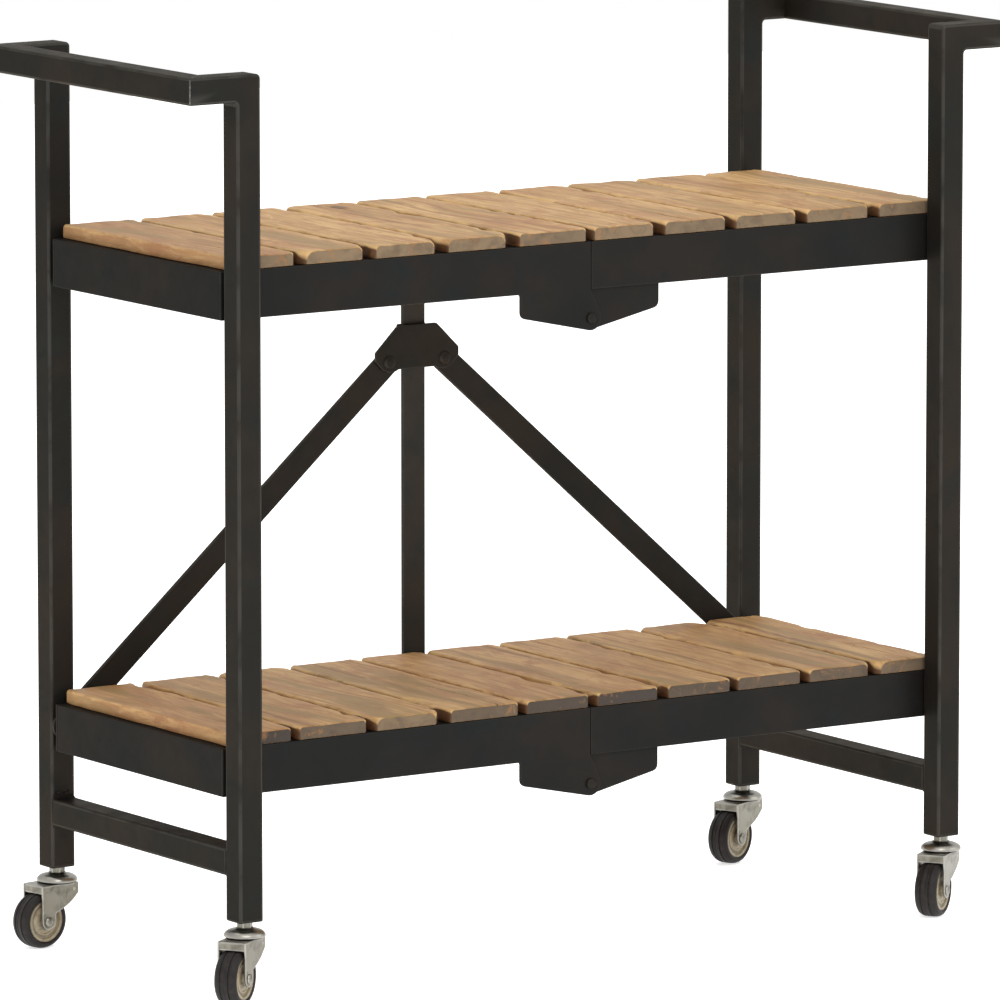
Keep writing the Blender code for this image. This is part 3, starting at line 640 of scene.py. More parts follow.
def fillet(shape, corner, size, place, low, high, steps=5):
    # small concave weld fillet in the angle at corner; size is signed along a and b
    a, b = corner
    across, up = size
    points = [(a, b), (a + across, b)]
    for step in range(1, steps):
        angle = math.pi / 2 * step / steps
        points.append((a + across * (1 - math.sin(angle)), b + up * (1 - math.cos(angle))))
    points.append((a, b + up))
    rings = [addRing(shape, [place(*point, depth) for point in points], [0.25] * len(points))
             for depth in (low, high)]
    joinRings(shape, rings)


def makeStretcher(side, sideName):
    # bar between the legs, with weld fillets over and under both ends
    low, high = stretcherLow.z, stretcherHigh.z
    front = frontLegY + tubeSize / 2 - tubing["lap"]
    rear = rearLegY - tubeSize / 2 + tubing["lap"]
    outline = oblong(front, rear, low, high)
    shape = newShape()
    middle = side * legX
    depths = (middle - tubeSize / 2, middle + tubeSize / 2)
    slab(shape, outline, alongX, *depths, tubing["edge"])
    inside = (depths[0] + tubing["edge"] * 0.6, depths[1] - tubing["edge"] * 0.6)
    for a, across in ((front + tubing["lap"], 1), (rear - tubing["lap"], -1)):
        for height, (width, rise) in ((high - 0.0003, tubing["filletOver"]),
                                      (low + 0.0003, tubing["filletUnder"])):
            fillet(shape, (a - across * 0.0001, height), (across * width, rise), alongX, *inside)
    return piece("stretcher" + sideName.capitalize(), shape, steel, sideName + "_end",
                 ["stretcher_" + sideName])


def makeStretcherWelds(side, sideName):
    # beads where the stretcher meets the legs, and drops of spatter at the rear one
    shape = newShape()
    for inward, legY in ((1, frontLegY), (-1, rearLegY)):
        y = legY + inward * (tubeSize / 2 + 0.0002)
        for outward in (-1, 1):
            x = side * legX + outward * (tubeSize / 2 - 0.0003)
            bead(shape, (x, y, stretcherLow.z + 0.002), (x, y, stretcherHigh.z - 0.001), tubing["bead"],
                 seed=x + y)
    for index, (x, up) in enumerate(tubing["drops"]):
        spot = Vector((side * legX + x, rearLegY - tubeSize / 2 - 0.0006, stretcherHigh.z + up))
        bead(shape, spot - Vector((0.0012, 0, 0)), spot + Vector((0.0012, 0, 0.0004)), tubing["drop"], lumps=4,
             seed=index * 1.7)
    return piece("stretcherWelds" + sideName.capitalize(), shape, blackWeld, sideName + "_end")


for sideName, side in sides.items():
    for row in ("front", "rear"):
        makeLeg(side, sideName, row)
    makeHandleBar(side, sideName)
    makeHandleSeams(side, sideName)
    makeStretcher(side, sideName)
    makeStretcherWelds(side, sideName)
print("end frames made")


shelfIron = {
    "thick": 0.003, "flange": 0.025, "edge": 0.0006, "split": 0.0003, "corner": 0.0008, "seam": 0.00025,
    "plateLength": 0.075, "plateDepth": 0.021, "plateCorner": 0.006, "fillet": 0.0022, "nose": 0.011,
    "pinDrop": 0.026, "recess": 0.0033, "overlap": 0.014,
    "lap": 0.0005, "below": 0.00005,  # the flange runs this far into the web, and lies below its top
}
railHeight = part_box("upper_frame_left")[1].z - (pinZ["upper"] + shelfIron["pinDrop"])


def noseArc(centre):
    # round end of a hinge plate, under and beyond the pin
    points = []
    for step in range(12):
        angle = math.radians(170 + 110 * step / 11)
        points.append((centre[0] + shelfIron["nose"] * math.cos(angle),
                       centre[1] + shelfIron["nose"] * math.sin(angle), 0, 0))
    return points


def webOutline(bottom, withPlate):
    # front or rear rail of one half, a runs outwards from the split
    iron = shelfIron
    top = bottom + railHeight
    outline = [(iron["split"], top, iron["corner"], 0), (iron["split"], bottom, 0.0004, 0)]
    if withPlate:
        outline += noseArc((0.0, bottom - iron["pinDrop"]))
        outline += [(iron["plateLength"], bottom - iron["plateDepth"], iron["plateCorner"], 0),
                    (iron["plateLength"], bottom, iron["fillet"], 0)]
    return outline + [(shelfEnd, bottom, iron["corner"], 1), (shelfEnd, top, iron["corner"], 1)]


def plateOutline(bottom):
    iron = shelfIron
    return ([(iron["split"], bottom + iron["overlap"], 0, 0), (iron["split"], bottom, 0, 0)]
            + noseArc((0.0, bottom - iron["pinDrop"]))
            + [(iron["plateLength"], bottom - iron["plateDepth"], iron["plateCorner"], 0),
               (iron["plateLength"], bottom + iron["overlap"], 0.002, 0)])


def makeShelfFrame(shelf, side, sideName):
    iron = shelfIron
    bottom = pinZ[shelf] + iron["pinDrop"]
    top = bottom + railHeight
    shape = newShape()

    def upright(a, b, c):
        return (side * a, c, b)

    def flange(strip):  # flat strip under the planks, mitred at the end
        slab(shape, [(a, b, 0, 0) for a, b in strip], lambda a, b, c: (side * a, b, c),
             top - iron["thick"], top - iron["below"], 0.0003, 1, 1)

    for face, inward in ((plankFront, 1), (plankRear, -1)):
        depths = sorted((face, face + inward * iron["thick"]))
        slab(shape, webOutline(bottom, side < 0), upright, *depths, iron["edge"], 2, 3)
        if side > 0:
            near = face + inward * iron["recess"]
            slab(shape, plateOutline(bottom), upright, *sorted((near, near + inward * iron["thick"])),
                 iron["edge"], 2, 3)
            bead(shape, (0.012, near, bottom + 0.0004), (0.066, near, bottom + 0.0004), 0.0009,
                 lumps=24, seed=face)
        web, lip = face + inward * (iron["thick"] - iron["lap"]), face + inward * iron["flange"]
        strip = [(iron["split"], web), (shelfEnd - iron["thick"], web),
                 (shelfEnd - iron["flange"], lip), (iron["split"], lip)]
        flange(strip if inward > 0 else strip[::-1])
    ends = (plankFront + iron["thick"] + iron["seam"], plankRear - iron["thick"] - iron["seam"])
    depths = sorted((side * shelfEnd, side * (shelfEnd - iron["thick"])))
    slab(shape, oblong(*ends, bottom, top, iron["corner"], 1), alongX, *depths, iron["edge"], 2, 3)
    flange([(shelfEnd - iron["thick"] + iron["lap"], plankFront + iron["thick"]),
            (shelfEnd - iron["thick"] + iron["lap"], plankRear - iron["thick"]),
            (shelfEnd - iron["flange"], plankRear - iron["flange"]),
            (shelfEnd - iron["flange"], plankFront + iron["flange"])])
    return piece(f"{shelf}Rails{sideName.capitalize()}", shape, railSteel, f"{shelf}_{sideName}_half",
                 [f"{shelf}_frame_{sideName}"])


for shelf in ("upper", "lower"):
    for sideName, side in sides.items():
        makeShelfFrame(shelf, side, sideName)
print("shelf frames made")


# gaps between planks, millimetres from the middle, at the front and at the rear
plankGaps = {
    "upper": ((-308, -233, -157, -81, -1, 73, 151, 229, 307), (-302, -226, -148, -72, 3, 81, 157, 233, 310)),
    "lower": ((-312, -234, -154, -72, 2, 80, 156, 233, 311), (-301, -222, -145, -68, 4, 83, 158, 236, 314)),
}
plankStock = {
    "gap": 0.0062, "endInset": 0.009, "rim": 0.0017, "wander": 0.0013, "cup": 0.0005,
    "columns": 15, "stations": 60, "chipDepth": 0.0045, "tear": 0.013, "tearFrom": 0.16,
    "splitDepth": 0.0016, "splitHalf": 0.0008, "sawn": 0.0007,
    "shadeReach": 0.026, "shadeFrom": 0.6, "shadeLoss": 0.88,  # the painted shade in a gap fades behind its front end
}
# tint (redder above 0, paler below), darkening of the front end (grey end grain and painted shade, strongest
# on the lower shelf), how hard the corners are worn
plankCharacter = {
    "upper": [(0.8, 0.1, 0.5), (0.4, 0.0, 0.9), (-0.1, 0.0, 1.0), (-0.4, 0.0, 1.3), (0.1, 0.2, 0.6),
              (0.0, 0.0, 0.6), (0.3, 0.2, 0.8), (-0.1, 0.1, 1.3), (0.4, 0.1, 1.0), (0.2, 0.2, 0.9)],
    "lower": [(0.7, 1.0, 0.4), (0.2, 0.6, 0.5), (-0.3, 0.1, 1.8), (0.2, 0.6, 0.6), (0.5, 0.9, 0.4),
              (0.2, 1.0, 0.5), (0.3, 0.8, 0.6), (0.2, 0.7, 0.5), (0.5, 0.6, 1.0), (0.2, 0.4, 1.0)],
}


def wobble(*where):
    return noise.noise(Vector(where))


def makePlank(shelf, number, body, node, low, high, character, seed):
    # low and high are the x of the plank's sides at the front and at the rear
    stock = plankStock
    tint, endGreyAndPaintedShade, wearAmount = character
    base = railTop[shelf] + 0.0003
    top = base + plankThick
    shape = newShape()
    layer = shape.verts.layers.float["wear"]
    deepLayer = shape.verts.layers.float.new("deep")
    seedLayer = shape.verts.layers.float.new("seed")
    tintLayer = shape.verts.layers.float.new("tint")
    endPaintedShadeLayer = shape.verts.layers.float.new("endGreyAndPaintedShade")
    gapShadeLayer = shape.verts.layers.float.new("gap")
    endLayer = shape.verts.layers.float.new("end")
    length = plankRear - plankFront
    middle = ((low[0] + high[0] + low[1] + high[1]) / 4, (plankFront + plankRear) / 2, (base + top) / 2)
    # stations along the plank, close together at its ends
    stations = []
    for index in range(stock["stations"] + 1):
        share = index / stock["stations"]
        share = share - math.sin(2 * math.pi * share) / (2 * math.pi) * 0.82
        stations.append(share)
    crackColumn = 4 + int(abs(wobble(seed, 3.3, 0.5)) * 14) % (stock["columns"] - 8)
    crackReach = 0.05 + 0.16 * abs(wobble(seed, 9.1, 2.2)) * 2
    crackFront = wobble(seed, 1.9, 7.7) > -0.1
    isSplit = number % 3 == 1
    rings = []
    for index, share in enumerate(stations):
        y = plankFront + length * share
        fromEnd = min(share, 1 - share) * length
        isFront = share < 0.5
        left = low[0] + (low[1] - low[0]) * share
        right = high[0] + (high[1] - high[0]) * share
        left += stock["wander"] * (wobble(seed, y * 20, 0.3) * 1.4 + wobble(seed, y * 90, 1.3) * 0.7)
        right += stock["wander"] * (wobble(seed, y * 20, 8.3) * 1.4 + wobble(seed, y * 90, 9.3) * 0.7)
        # splinters torn out of the long edges here and there
        leftTear = max(0.0, wobble(seed, y * 40, 15.1) - stock["tearFrom"]) * stock["tear"]
        rightTear = max(0.0, wobble(seed, y * 40, 21.7) - stock["tearFrom"]) * stock["tear"]
        # corners worn or chipped away near the ends
        for sideIndex in (0, 1):
            strength = 0.5 + 0.9 * abs(wobble(seed, 5.5 + sideIndex, 1.0 if isFront else 2.0)) * 2
            reach = 0.006 + 0.012 * abs(wobble(seed, 2.5 + sideIndex, 3.0 if isFront else 4.0)) * 2
            cut = stock["chipDepth"] * wearAmount * strength * max(0.0, 1 - fromEnd / reach) ** 1.8
            if sideIndex == 0:
                left += cut
            else:
                right -= cut
        # the outermost stations close in to round the end
        shrink = 0.0
        if index in (0, len(stations) - 1):
            shrink = stock["rim"]
        elif index in (1, len(stations) - 2):
            shrink = stock["rim"] * 0.35
        rimTop = stock["rim"] * (1 + 0.8 * wearAmount * abs(wobble(seed, y * 30, 4.4)))
        rimTop += stock["rim"] * 1.4 * wearAmount * max(0.0, 1 - fromEnd / 0.012)
        rimLow = stock["rim"] * 0.6
        rimRight, rimLeft = rimTop + rightTear, rimTop + leftTear
        left += shrink * 0.6
        right -= shrink * 0.6
        upper = top - shrink * 0.8
        lower = base + shrink * 0.4
        points, wear, deep, wall = [], [], [], []

        def put(x, z, amount=0.0, down=0.0, onWall=0.0):
            points.append((x - middle[0], y - middle[1], z - middle[2]))
            wear.append(amount)
            deep.append(down)
            wall.append(onWall)

        put(left + rimLow, lower)
        put(right - rimLow, lower)
        put(right - rimLow * 0.25, lower + rimLow * 0.25, onWall=1.0)
        put(right, lower + rimLow, onWall=1.0)
        put(right, upper - rimRight, onWall=1.0)
        put(right - rimRight * 0.12, upper - rimRight * 0.5, 1.0)
        put(right - rimRight * 0.5, upper - rimRight * 0.12, 1.0)
        columns = stock["columns"]
        span = right - left - rimLeft - rimRight
        for column in range(columns):
            x = left + rimLeft + span * (1 - column / (columns - 1))
            lift = stock["cup"] * (wobble(seed, x * 40, y * 9) - 0.3) * 1.5
            lift -= 0.0007 * max(0.0, wobble(seed + 4, x * 25, y * 16) - 0.25)
            # a split that runs in from one end
            opening = 0.0
            inSplit = isSplit and isFront == crackFront and fromEnd < crackReach
            if column == crackColumn and inSplit:
                opening = (1 - fromEnd / crackReach) ** 0.7
            edgeColumn = column in (0, columns - 1)
            z = upper + (0 if edgeColumn else min(lift, 0.00005)) - stock["splitDepth"] * opening
            put(x, z, 0.5 if edgeColumn else 0.0, opening)
            if column in (crackColumn - 1, crackColumn + 1) and inSplit:
                # neighbours close up to the split, so that it stays narrow
                target = left + rimLeft + span * (1 - crackColumn / (columns - 1))
                sign = 1 if column < crackColumn else -1
                pull = min(1.0, (1 - fromEnd / crackReach) * 2.5)
                spot = x + (target + sign * stock["splitHalf"] - x) * pull
                points[-1] = (spot - middle[0], points[-1][1], points[-1][2])
        put(left + rimLeft * 0.5, upper - rimLeft * 0.12, 1.0)
        put(left + rimLeft * 0.12, upper - rimLeft * 0.5, 1.0)
        put(left, upper - rimLeft, onWall=1.0)
        put(left, lower + rimLow, onWall=1.0)
        put(left + rimLow * 0.25, lower + rimLow * 0.25, onWall=1.0)
        ring = addRing(shape, points, wear)
        # the sawn ends aren't quite flat
        if index in (0, len(stations) - 1):
            inward = 1 if isFront else -1
            for vert in ring:
                unevenness = abs(wobble(seed, vert.co.x * 60, vert.co.z * 90 + index))
                vert.co.y += inward * stock["sawn"] * unevenness
        onEnd = index in (0, len(stations) - 1)
        for vert, down, onWall in zip(ring, deep, wall):
            vert[deepLayer] = 0.0 if onEnd else down
            vert[endLayer] = 1.0 if onEnd else 0.0
            vert[gapShadeLayer] = onWall
        rings.append(ring)
    joinRings(shape, rings)
    for vert in shape.verts:
        vert[seedLayer] = seed
        vert[tintLayer] = tint
        vert[endPaintedShadeLayer] = endGreyAndPaintedShade
        outerSide = vert.co.x < 0 if number == 1 else vert.co.x > 0
        # painted shade in the gaps fades behind the front end, and there is none on the outer side of an
        # outermost plank
        behind = (vert.co.y + length / 2) / stock["shadeReach"] - stock["shadeFrom"]
        inner = 1 - stock["shadeLoss"] * max(0.0, min(1.0, behind))
        vert[gapShadeLayer] *= 0.0 if number in (1, 10) and outerSide else inner
    name = f"{shelf}Plank{number:02d}"
    place = Matrix.Translation(middle)
    return piece(name, shape, wood, body, [node], sharp=40, turn=place)


for shelf in ("upper", "lower"):
    front, rear = plankGaps[shelf]
    half = plankStock["gap"] / 2
    outerEdge = shelfEnd - plankStock["endInset"]
    for number in range(1, 11):
        low = [-outerEdge if number == 1 else gaps[number - 2] / 1000 + half for gaps in (front, rear)]
        high = [outerEdge if number == 10 else gaps[number - 1] / 1000 - half for gaps in (front, rear)]
        sideName = "left" if number <= 5 else "right"
        place = 6 - number if number <= 5 else number - 5
        seed = number * 1.37 + (0 if shelf == "upper" else 23.0)
        makePlank(shelf, number, f"{shelf}_{sideName}_half", f"{shelf}_{sideName}_plank_{place}",
                  low, high, plankCharacter[shelf][number - 1], seed)
print("planks made")


pinParts = {"head": 0.0048, "shank": 0.0035, "bush": 0.0067}


def makeHingePin(shelf, row):
    # rivet with a domed head in front, or a bush and a washered head behind the post
    low, high, middle = extent(f"{shelf}_{row}_hinge_pin")
    out = -1 if row == "front" else 1
    face = plankFront if row == "front" else plankRear
    outer = low.y if row == "front" else high.y
    inner = high.y if row == "front" else low.y

    def place(a, b, c):
        return (middle.x + a, c, middle.z + b)

    head, shank = pinParts["head"], pinParts["shank"]
    start = face + out * 0.0003
    profile = [(0.0, inner), (head * 0.8, inner), (head, inner + out * 0.0008), (head, inner + out * 0.003),
               (shank, inner + out * 0.0031), (shank, start)]
    if row == "front":
        reach = abs(outer - start)
        profile += [(head, start), (head, start + out * reach * 0.3)]
        for step in range(1, 6):
            angle = math.pi / 2 * step / 6
            profile.append((head * math.cos(angle), start + out * reach * (0.3 + 0.7 * math.sin(angle))))
        profile += [(0.0, outer)]
    else:
        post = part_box("centre_post")
        bush = pinParts["bush"]
        profile += [(bush - 0.0005, start), (bush, start + 0.0005), (bush, post[0].y - 0.0008),
                    (bush - 0.0005, post[0].y - 0.0003), (shank, post[0].y - 0.0003),
                    (shank, post[1].y + 0.0002)]
        headTop = outer - (post[1].y + 0.0003)
        profile += [(head * 1.2, post[1].y + 0.0003), (head * 1.2, post[1].y + 0.0003 + headTop * 0.3)]
        for step in range(1, 6):
            angle = math.pi / 2 * step / 6
            profile.append((head * 1.2 * math.cos(angle),
                            post[1].y + 0.0003 + headTop * (0.3 + 0.7 * math.sin(angle))))
        profile += [(0.0, outer)]
    wear = [0.7 if radius > head * 0.85 else 0.2 for radius, _ in profile]
    shape = newShape()
    lathe(shape, profile, place, 24, wear)
    return piece(f"{shelf}Pin{row.capitalize()}", shape, steelPlain, f"{shelf}_left_half",
                 [f"{shelf}_{row}_hinge_pin"])


def capsule(first, second, radius):
    # outline of a flat bar with round ends, from the lower centre to the upper one
    along = (Vector(second) - Vector(first)).normalized()
    side = Vector((along.y, -along.x))
    start, end = Vector(first) - along * radius, Vector(second) + along * radius
    return [(spot.x, spot.y, radius * 0.999, 0) for spot in
            (start - side * radius, start + side * radius, end + side * radius, end - side * radius)]


flatBars = {
    "postWidth": 0.024, "braceWidth": 0.024, "braceThick": 0.0031, "edge": 0.0008, "clearance": 0.0003,
    "collarEdge": 0.0005, "collarThick": 0.002, "earPin": 0.030, "nut": 0.0064,
}


def makePost():
    low, high, _ = extent("centre_post")
    radius = flatBars["postWidth"] / 2
    shape = newShape()
    slab(shape, capsule((0, low.z + radius), (0, high.z - radius), radius), alongY, low.y, high.y,
         flatBars["edge"], 2, 8)
    return piece("post", shape, postSteelPaintedLight, "post", ["centre_post"])


def makeBrace(side, sideName):
    low, high, _ = extent("brace_" + sideName)
    radius = flatBars["braceWidth"] / 2
    outerPin = (side * legX, low.z + radius)
    innerPin = (side * flatBars["earPin"], high.z - radius)
    back = rearLegY - tubeSize / 2 - flatBars["clearance"]
    shape = newShape()
    slab(shape, capsule(outerPin, innerPin, radius), alongY, back - flatBars["braceThick"], back,
         flatBars["edge"], 2, 8)
    # hex nut of the rivet that joins it to the collar
    nut = hexagon(flatBars["nut"], 0.0004, centre=innerPin)
    slab(shape, nut, alongY, back - 0.0005, high.y, 0.0004, 2, 2, rim=0.0006)
    return piece("brace" + sideName.capitalize(), shape, steel, sideName + "_brace",
                 ["brace_" + sideName])


def makeCollar():
    # stamped plate that is bent round the post, with an ear for each brace
    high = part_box("brace_collar")[1]
    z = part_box("brace_left")[1].z - flatBars["braceWidth"] / 2  # height of the brace pins
    top = high.z
    thick = flatBars["collarThick"]
    front = rearLegY - tubeSize / 2 - flatBars["clearance"] * 2 - flatBars["braceThick"] - thick
    half = [(0.0199, z - 0.007, 0.0035, 0), (0.0225, z - 0.0085, 0.003, 0), (0.0300, z - 0.0100, 0.004, 0),
            (0.0375, z - 0.0065, 0.004, 0), (0.0452, z + 0.0015, 0.003, 0), (0.0452, z + 0.0095, 0.0022, 0),
            (0.0212, top, 0.0050, 0)]
    outline = half + [(-a, b, radius, rubbed) for a, b, radius, rubbed in reversed(half)]
    shape = newShape()
    slab(shape, outline, alongY, front, front + thick, flatBars["collarEdge"], 2, 4)
    inside, outside = 0.0123, 0.0153  # walls on both sides of the post
    for side in (-1, 1):
        ends = sorted((side * inside, side * outside))
        wall = [(ends[0], z - 0.0030, 0.0005, 0), (ends[1], z - 0.0030, 0.0005, 0),
                (ends[1], top - 0.0020, 0.002, 0), (ends[0], top - 0.0020, 0.0005, 0)]
        slab(shape, wall, alongY, front + 0.0010, high.y - 0.0003, 0.0005, 2, 3)
    back = oblong(-outside, outside, z - 0.007, top, 0.0015)
    slab(shape, back, alongY, high.y - thick, high.y, 0.0006, 2, 4)
    # rivet heads on the ears
    profile = [(0.0, front - 0.0022), (0.0030, front - 0.0021), (0.0052, front - 0.0014),
               (0.0064, front - 0.0003), (0.0065, front + 0.0004), (0.0, front + 0.0004)]
    for side in (-1, 1):
        lathe(shape, profile, lambda a, b, c: (side * flatBars["earPin"] + a, c, z + b), 24,
              [0.6, 0.5, 1.0, 0.6, 0.0, 0.0])
    return piece("slidingCollar", shape, steel, "collar", ["brace_collar"])


for shelf in ("upper", "lower"):
    for row in ("front", "rear"):
        makeHingePin(shelf, row)
makePost()
makeCollar()
for sideName, side in sides.items():
    makeBrace(side, sideName)
print("post, collar and braces made")


screws = {"head": 0.0036, "height": 0.0019, "inset": 0.014, "spread": 0.018}


def makeScrews(shelf, side, sideName):
    # pan-head screws through the flange into every plank, from below
    underside = railTop[shelf] - shelfIron["thick"]
    head, height = screws["head"], screws["height"]
    profile = [(0.0, underside - height * 0.55), (head * 0.35, underside - height * 0.55),
               (head * 0.42, underside - height), (head * 0.8, underside - height * 0.75),
               (head, underside - height * 0.2), (head, underside + 0.0002), (0.0, underside + 0.0002)]
    shape = newShape()
    for place in range(1, 6):
        middle = extent(f"{shelf}_{sideName}_plank_{place}")[2]
        for y in (plankFront + screws["inset"], plankRear - screws["inset"]):
            for x in (middle.x - screws["spread"], middle.x + screws["spread"]):
                lathe(shape, profile, lambda a, b, c: (x + a, y + b, c), 12, [0, 0, 1, 0.6, 0.8, 0, 0])
    return piece(f"{shelf}Screws{sideName.capitalize()}", shape, zincBolt, f"{shelf}_{sideName}_half")


for shelf in ("upper", "lower"):
    for sideName, side in sides.items():
        makeScrews(shelf, side, sideName)
for name, node in frame["nodes"].items():
    if name.endswith("pivot_bolt"):
        node.data.materials.clear()
        node.data.materials.append(zincBolt)
print("screws and bolts made")


caster = {
    "neckHex": 0.0072, "neckHeight": 0.0055, "dish": 0.0184, "dishHeight": 0.008, "race": 0.0160,
    "sheet": 0.0018, "inside": 0.0236, "back": 0.028, "lip": 0.0078, "front": 0.0138, "neck": 0.0075,
    "trail": 0.021, "wheel": 0.025, "width": 0.021, "hub": 0.0187, "frontDrop": 0.0095,
    "axleNut": 0.0046,
}


def cornerFrame(corner):
    # where the fork and the wheel stand, turned as this caster is, and how far the axle lies below the leg
    swivel, axle = [next(Vector(joint["pos_m"]) for joint in frame["joints"]
                         if joint["child"] == f"caster_{corner}_{part}") for part in ("swivel", "roll")]
    trail = axle - swivel
    turned = Matrix.Rotation(math.atan2(-trail.y, -trail.x), 4, "Z")
    return Matrix.Translation(swivel) @ turned, Matrix.Translation(axle) @ turned, trail.z


def title(corner):
    return "".join(word.capitalize() for word in corner.split("_"))


def makeStem(corner, body):
    # hex neck, domed dish with a rolled rim; the threaded stem is inside the leg
    shape = newShape()
    neck, dish = caster["neckHeight"], caster["dish"]
    hexNeck = hexagon(caster["neckHex"], 0.0006, 1, start=12)
    slab(shape, hexNeck, alongZ, -neck - 0.0002, -0.0003, 0.0004, 2, 2, rim=0.0005)
    bottom = -neck - caster["dishHeight"]
    profile = [(0.0, 0.018), (0.0042, 0.018), (0.0050, 0.0172)]
    for thread in range(8):  # rolled thread
        height = 0.0165 - thread * 0.002
        profile += [(0.0050, height), (0.0044, height - 0.001)]
    profile += [(0.0050, 0.0002), (0.0050, -0.0012), (0.0, -0.0012)]
    lathe(shape, profile, alongZ, 20)
    dome = [(0.0, -neck + 0.0006), (0.0074, -neck + 0.0004), (0.0082, -neck - 0.0006),
            (0.0100, -neck - 0.0012), (0.0128, -neck - 0.0015), (dish * 0.82, -neck - 0.0023),
            (dish * 0.92, -neck - 0.0036), (dish * 0.98, -neck - 0.0050),
            (dish, bottom + 0.0018), (dish, bottom + 0.0009), (dish - 0.0005, bottom + 0.0004),
            (dish - 0.0012, bottom + 0.0003), (0.0120, bottom + 0.0003), (0.0, bottom + 0.0003)]
    lathe(shape, dome, alongZ, 40, [0, 0, 0, 0, 0.3, 0.6, 0.6, 1, 1, 1, 0.5, 0, 0, 0])
    return piece("stem" + title(corner), shape, zinc, body, [f"caster_{corner}_stem"],
                 sharp=40, turn=cornerFrame(corner)[0])


def cheekOutline(axle, top):
    # behind it drops straight down, in front it sweeps in to a narrow neck round the axle
    front, neck = caster["front"], caster["neck"]
    outline = [(axle[0] - neck, top, 0, 0)]
    for step in range(9):
        angle = math.radians(180 + 180 * step / 8)
        outline.append((axle[0] + neck * math.cos(angle), axle[1] + neck * math.sin(angle), 0, 0))
    start = Vector((axle[0] + neck + 0.0012, axle[1] + neck * 0.9))
    end = Vector((front, top - caster["frontDrop"]))
    for step in range(9):
        share = step / 8
        bend = math.sin(share * math.pi) * 0.0022
        spot = start.lerp(end, share)
        outline.append((spot.x + bend, spot.y - bend * 0.45, 0, 0))
    outline.append((front, top, 0, 0))
    return outline


def makeFork(corner, body):
    # pressed sheet fork: crown with a lip turned down over the wheel, two cheeks, a race below the dish
    place, _, drop = cornerFrame(corner)
    shape = newShape()
    sheet, front, back = caster["sheet"], caster["front"], -caster["back"]
    top = -caster["neckHeight"] - caster["dishHeight"] - 0.0003
    inside = caster["inside"] / 2
    outside = inside + sheet
    crown = [(back, -outside, 0.0016, 1), (front, -outside, 0.0045, 1),
             (front, outside, 0.0045, 1), (back, outside, 0.0016, 1)]
    slab(shape, crown, alongZ, top - sheet, top, 0.0007, 2, 4)
    cheek = cheekOutline((-caster["trail"], drop), top - 0.0004)
    for side in (-1, 1):
        slab(shape, cheek, alongY, *sorted((side * inside, side * outside)), 0.0005, 2, 1, rim=0.0009)
    lipEnd, lipBottom = outside - 0.0004, top - caster["lip"]
    lip = [(-lipEnd, lipBottom, 0.0012, 1), (lipEnd, lipBottom, 0.0012, 1),
           (lipEnd, top - 0.0004, 0, 0), (-lipEnd, top - 0.0004, 0, 0)]
    slab(shape, lip, alongX, back, back + sheet, 0.0006, 2, 3)
    # raised race that the dish turns on
    race = caster["race"]
    profile = [(0.0, top + 0.0001), (race - 0.0006, top + 0.0001), (race, top - 0.0004),
               (race + 0.0003, top - 0.0022), (race - 0.002, top - 0.0022), (0.0, top - 0.0022)]
    lathe(shape, profile, alongZ, 36, [0, 0.5, 1, 0.4, 0, 0])
    # pressed dimple near the front of each cheek
    for side in (-1, 1):
        dimple = [(0.0, side * (outside + 0.00005)), (0.0016, side * (outside + 0.00005)),
                  (0.0020, side * (outside - 0.0004)), (0.0, side * (outside - 0.0005))]
        lathe(shape, dimple, lambda a, b, c: (front - 0.0052 + a, c, top - 0.0062 + b), 14, [1, 1, 0, 0])
    return piece("fork" + title(corner), shape, zinc, body, [f"caster_{corner}_fork"],
                 sharp=40, turn=place)


def makeAxle(corner, body):
    # axle bolt: round head on one cheek, hex nut with the bolt end on the other
    outside = caster["inside"] / 2 + caster["sheet"]
    shape = newShape()
    profile = [(0.0, -outside - 0.0021), (0.0018, -outside - 0.0021), (0.0036, -outside - 0.0015),
               (0.0043, -outside - 0.0006), (0.0043, -outside + 0.0001), (0.0029, -outside + 0.0002),
               (0.0029, outside + 0.0019), (0.0024, outside + 0.0022), (0.0, outside + 0.0022)]
    lathe(shape, profile, alongY, 20, [0, 0, 0.5, 1, 0.5, 0, 0, 1, 0])
    nut = hexagon(caster["axleNut"], 0.0003, 1)
    slab(shape, nut, alongY, outside - 0.0001, outside + 0.0017, 0.0003, 2, 2, rim=0.0004)
    return piece("axle" + title(corner), shape, zincBolt, body, sharp=40,
                 turn=cornerFrame(corner)[1])


def bothSides(half, shared):
    # radius, height and wear of one side and its mirror image; shared where they meet in the last point
    rest = half[:-1] if shared else half
    both = half + [(radius, -height, rubbed) for radius, height, rubbed in reversed(rest)]
    return [point[:2] for point in both], [point[2] for point in both]


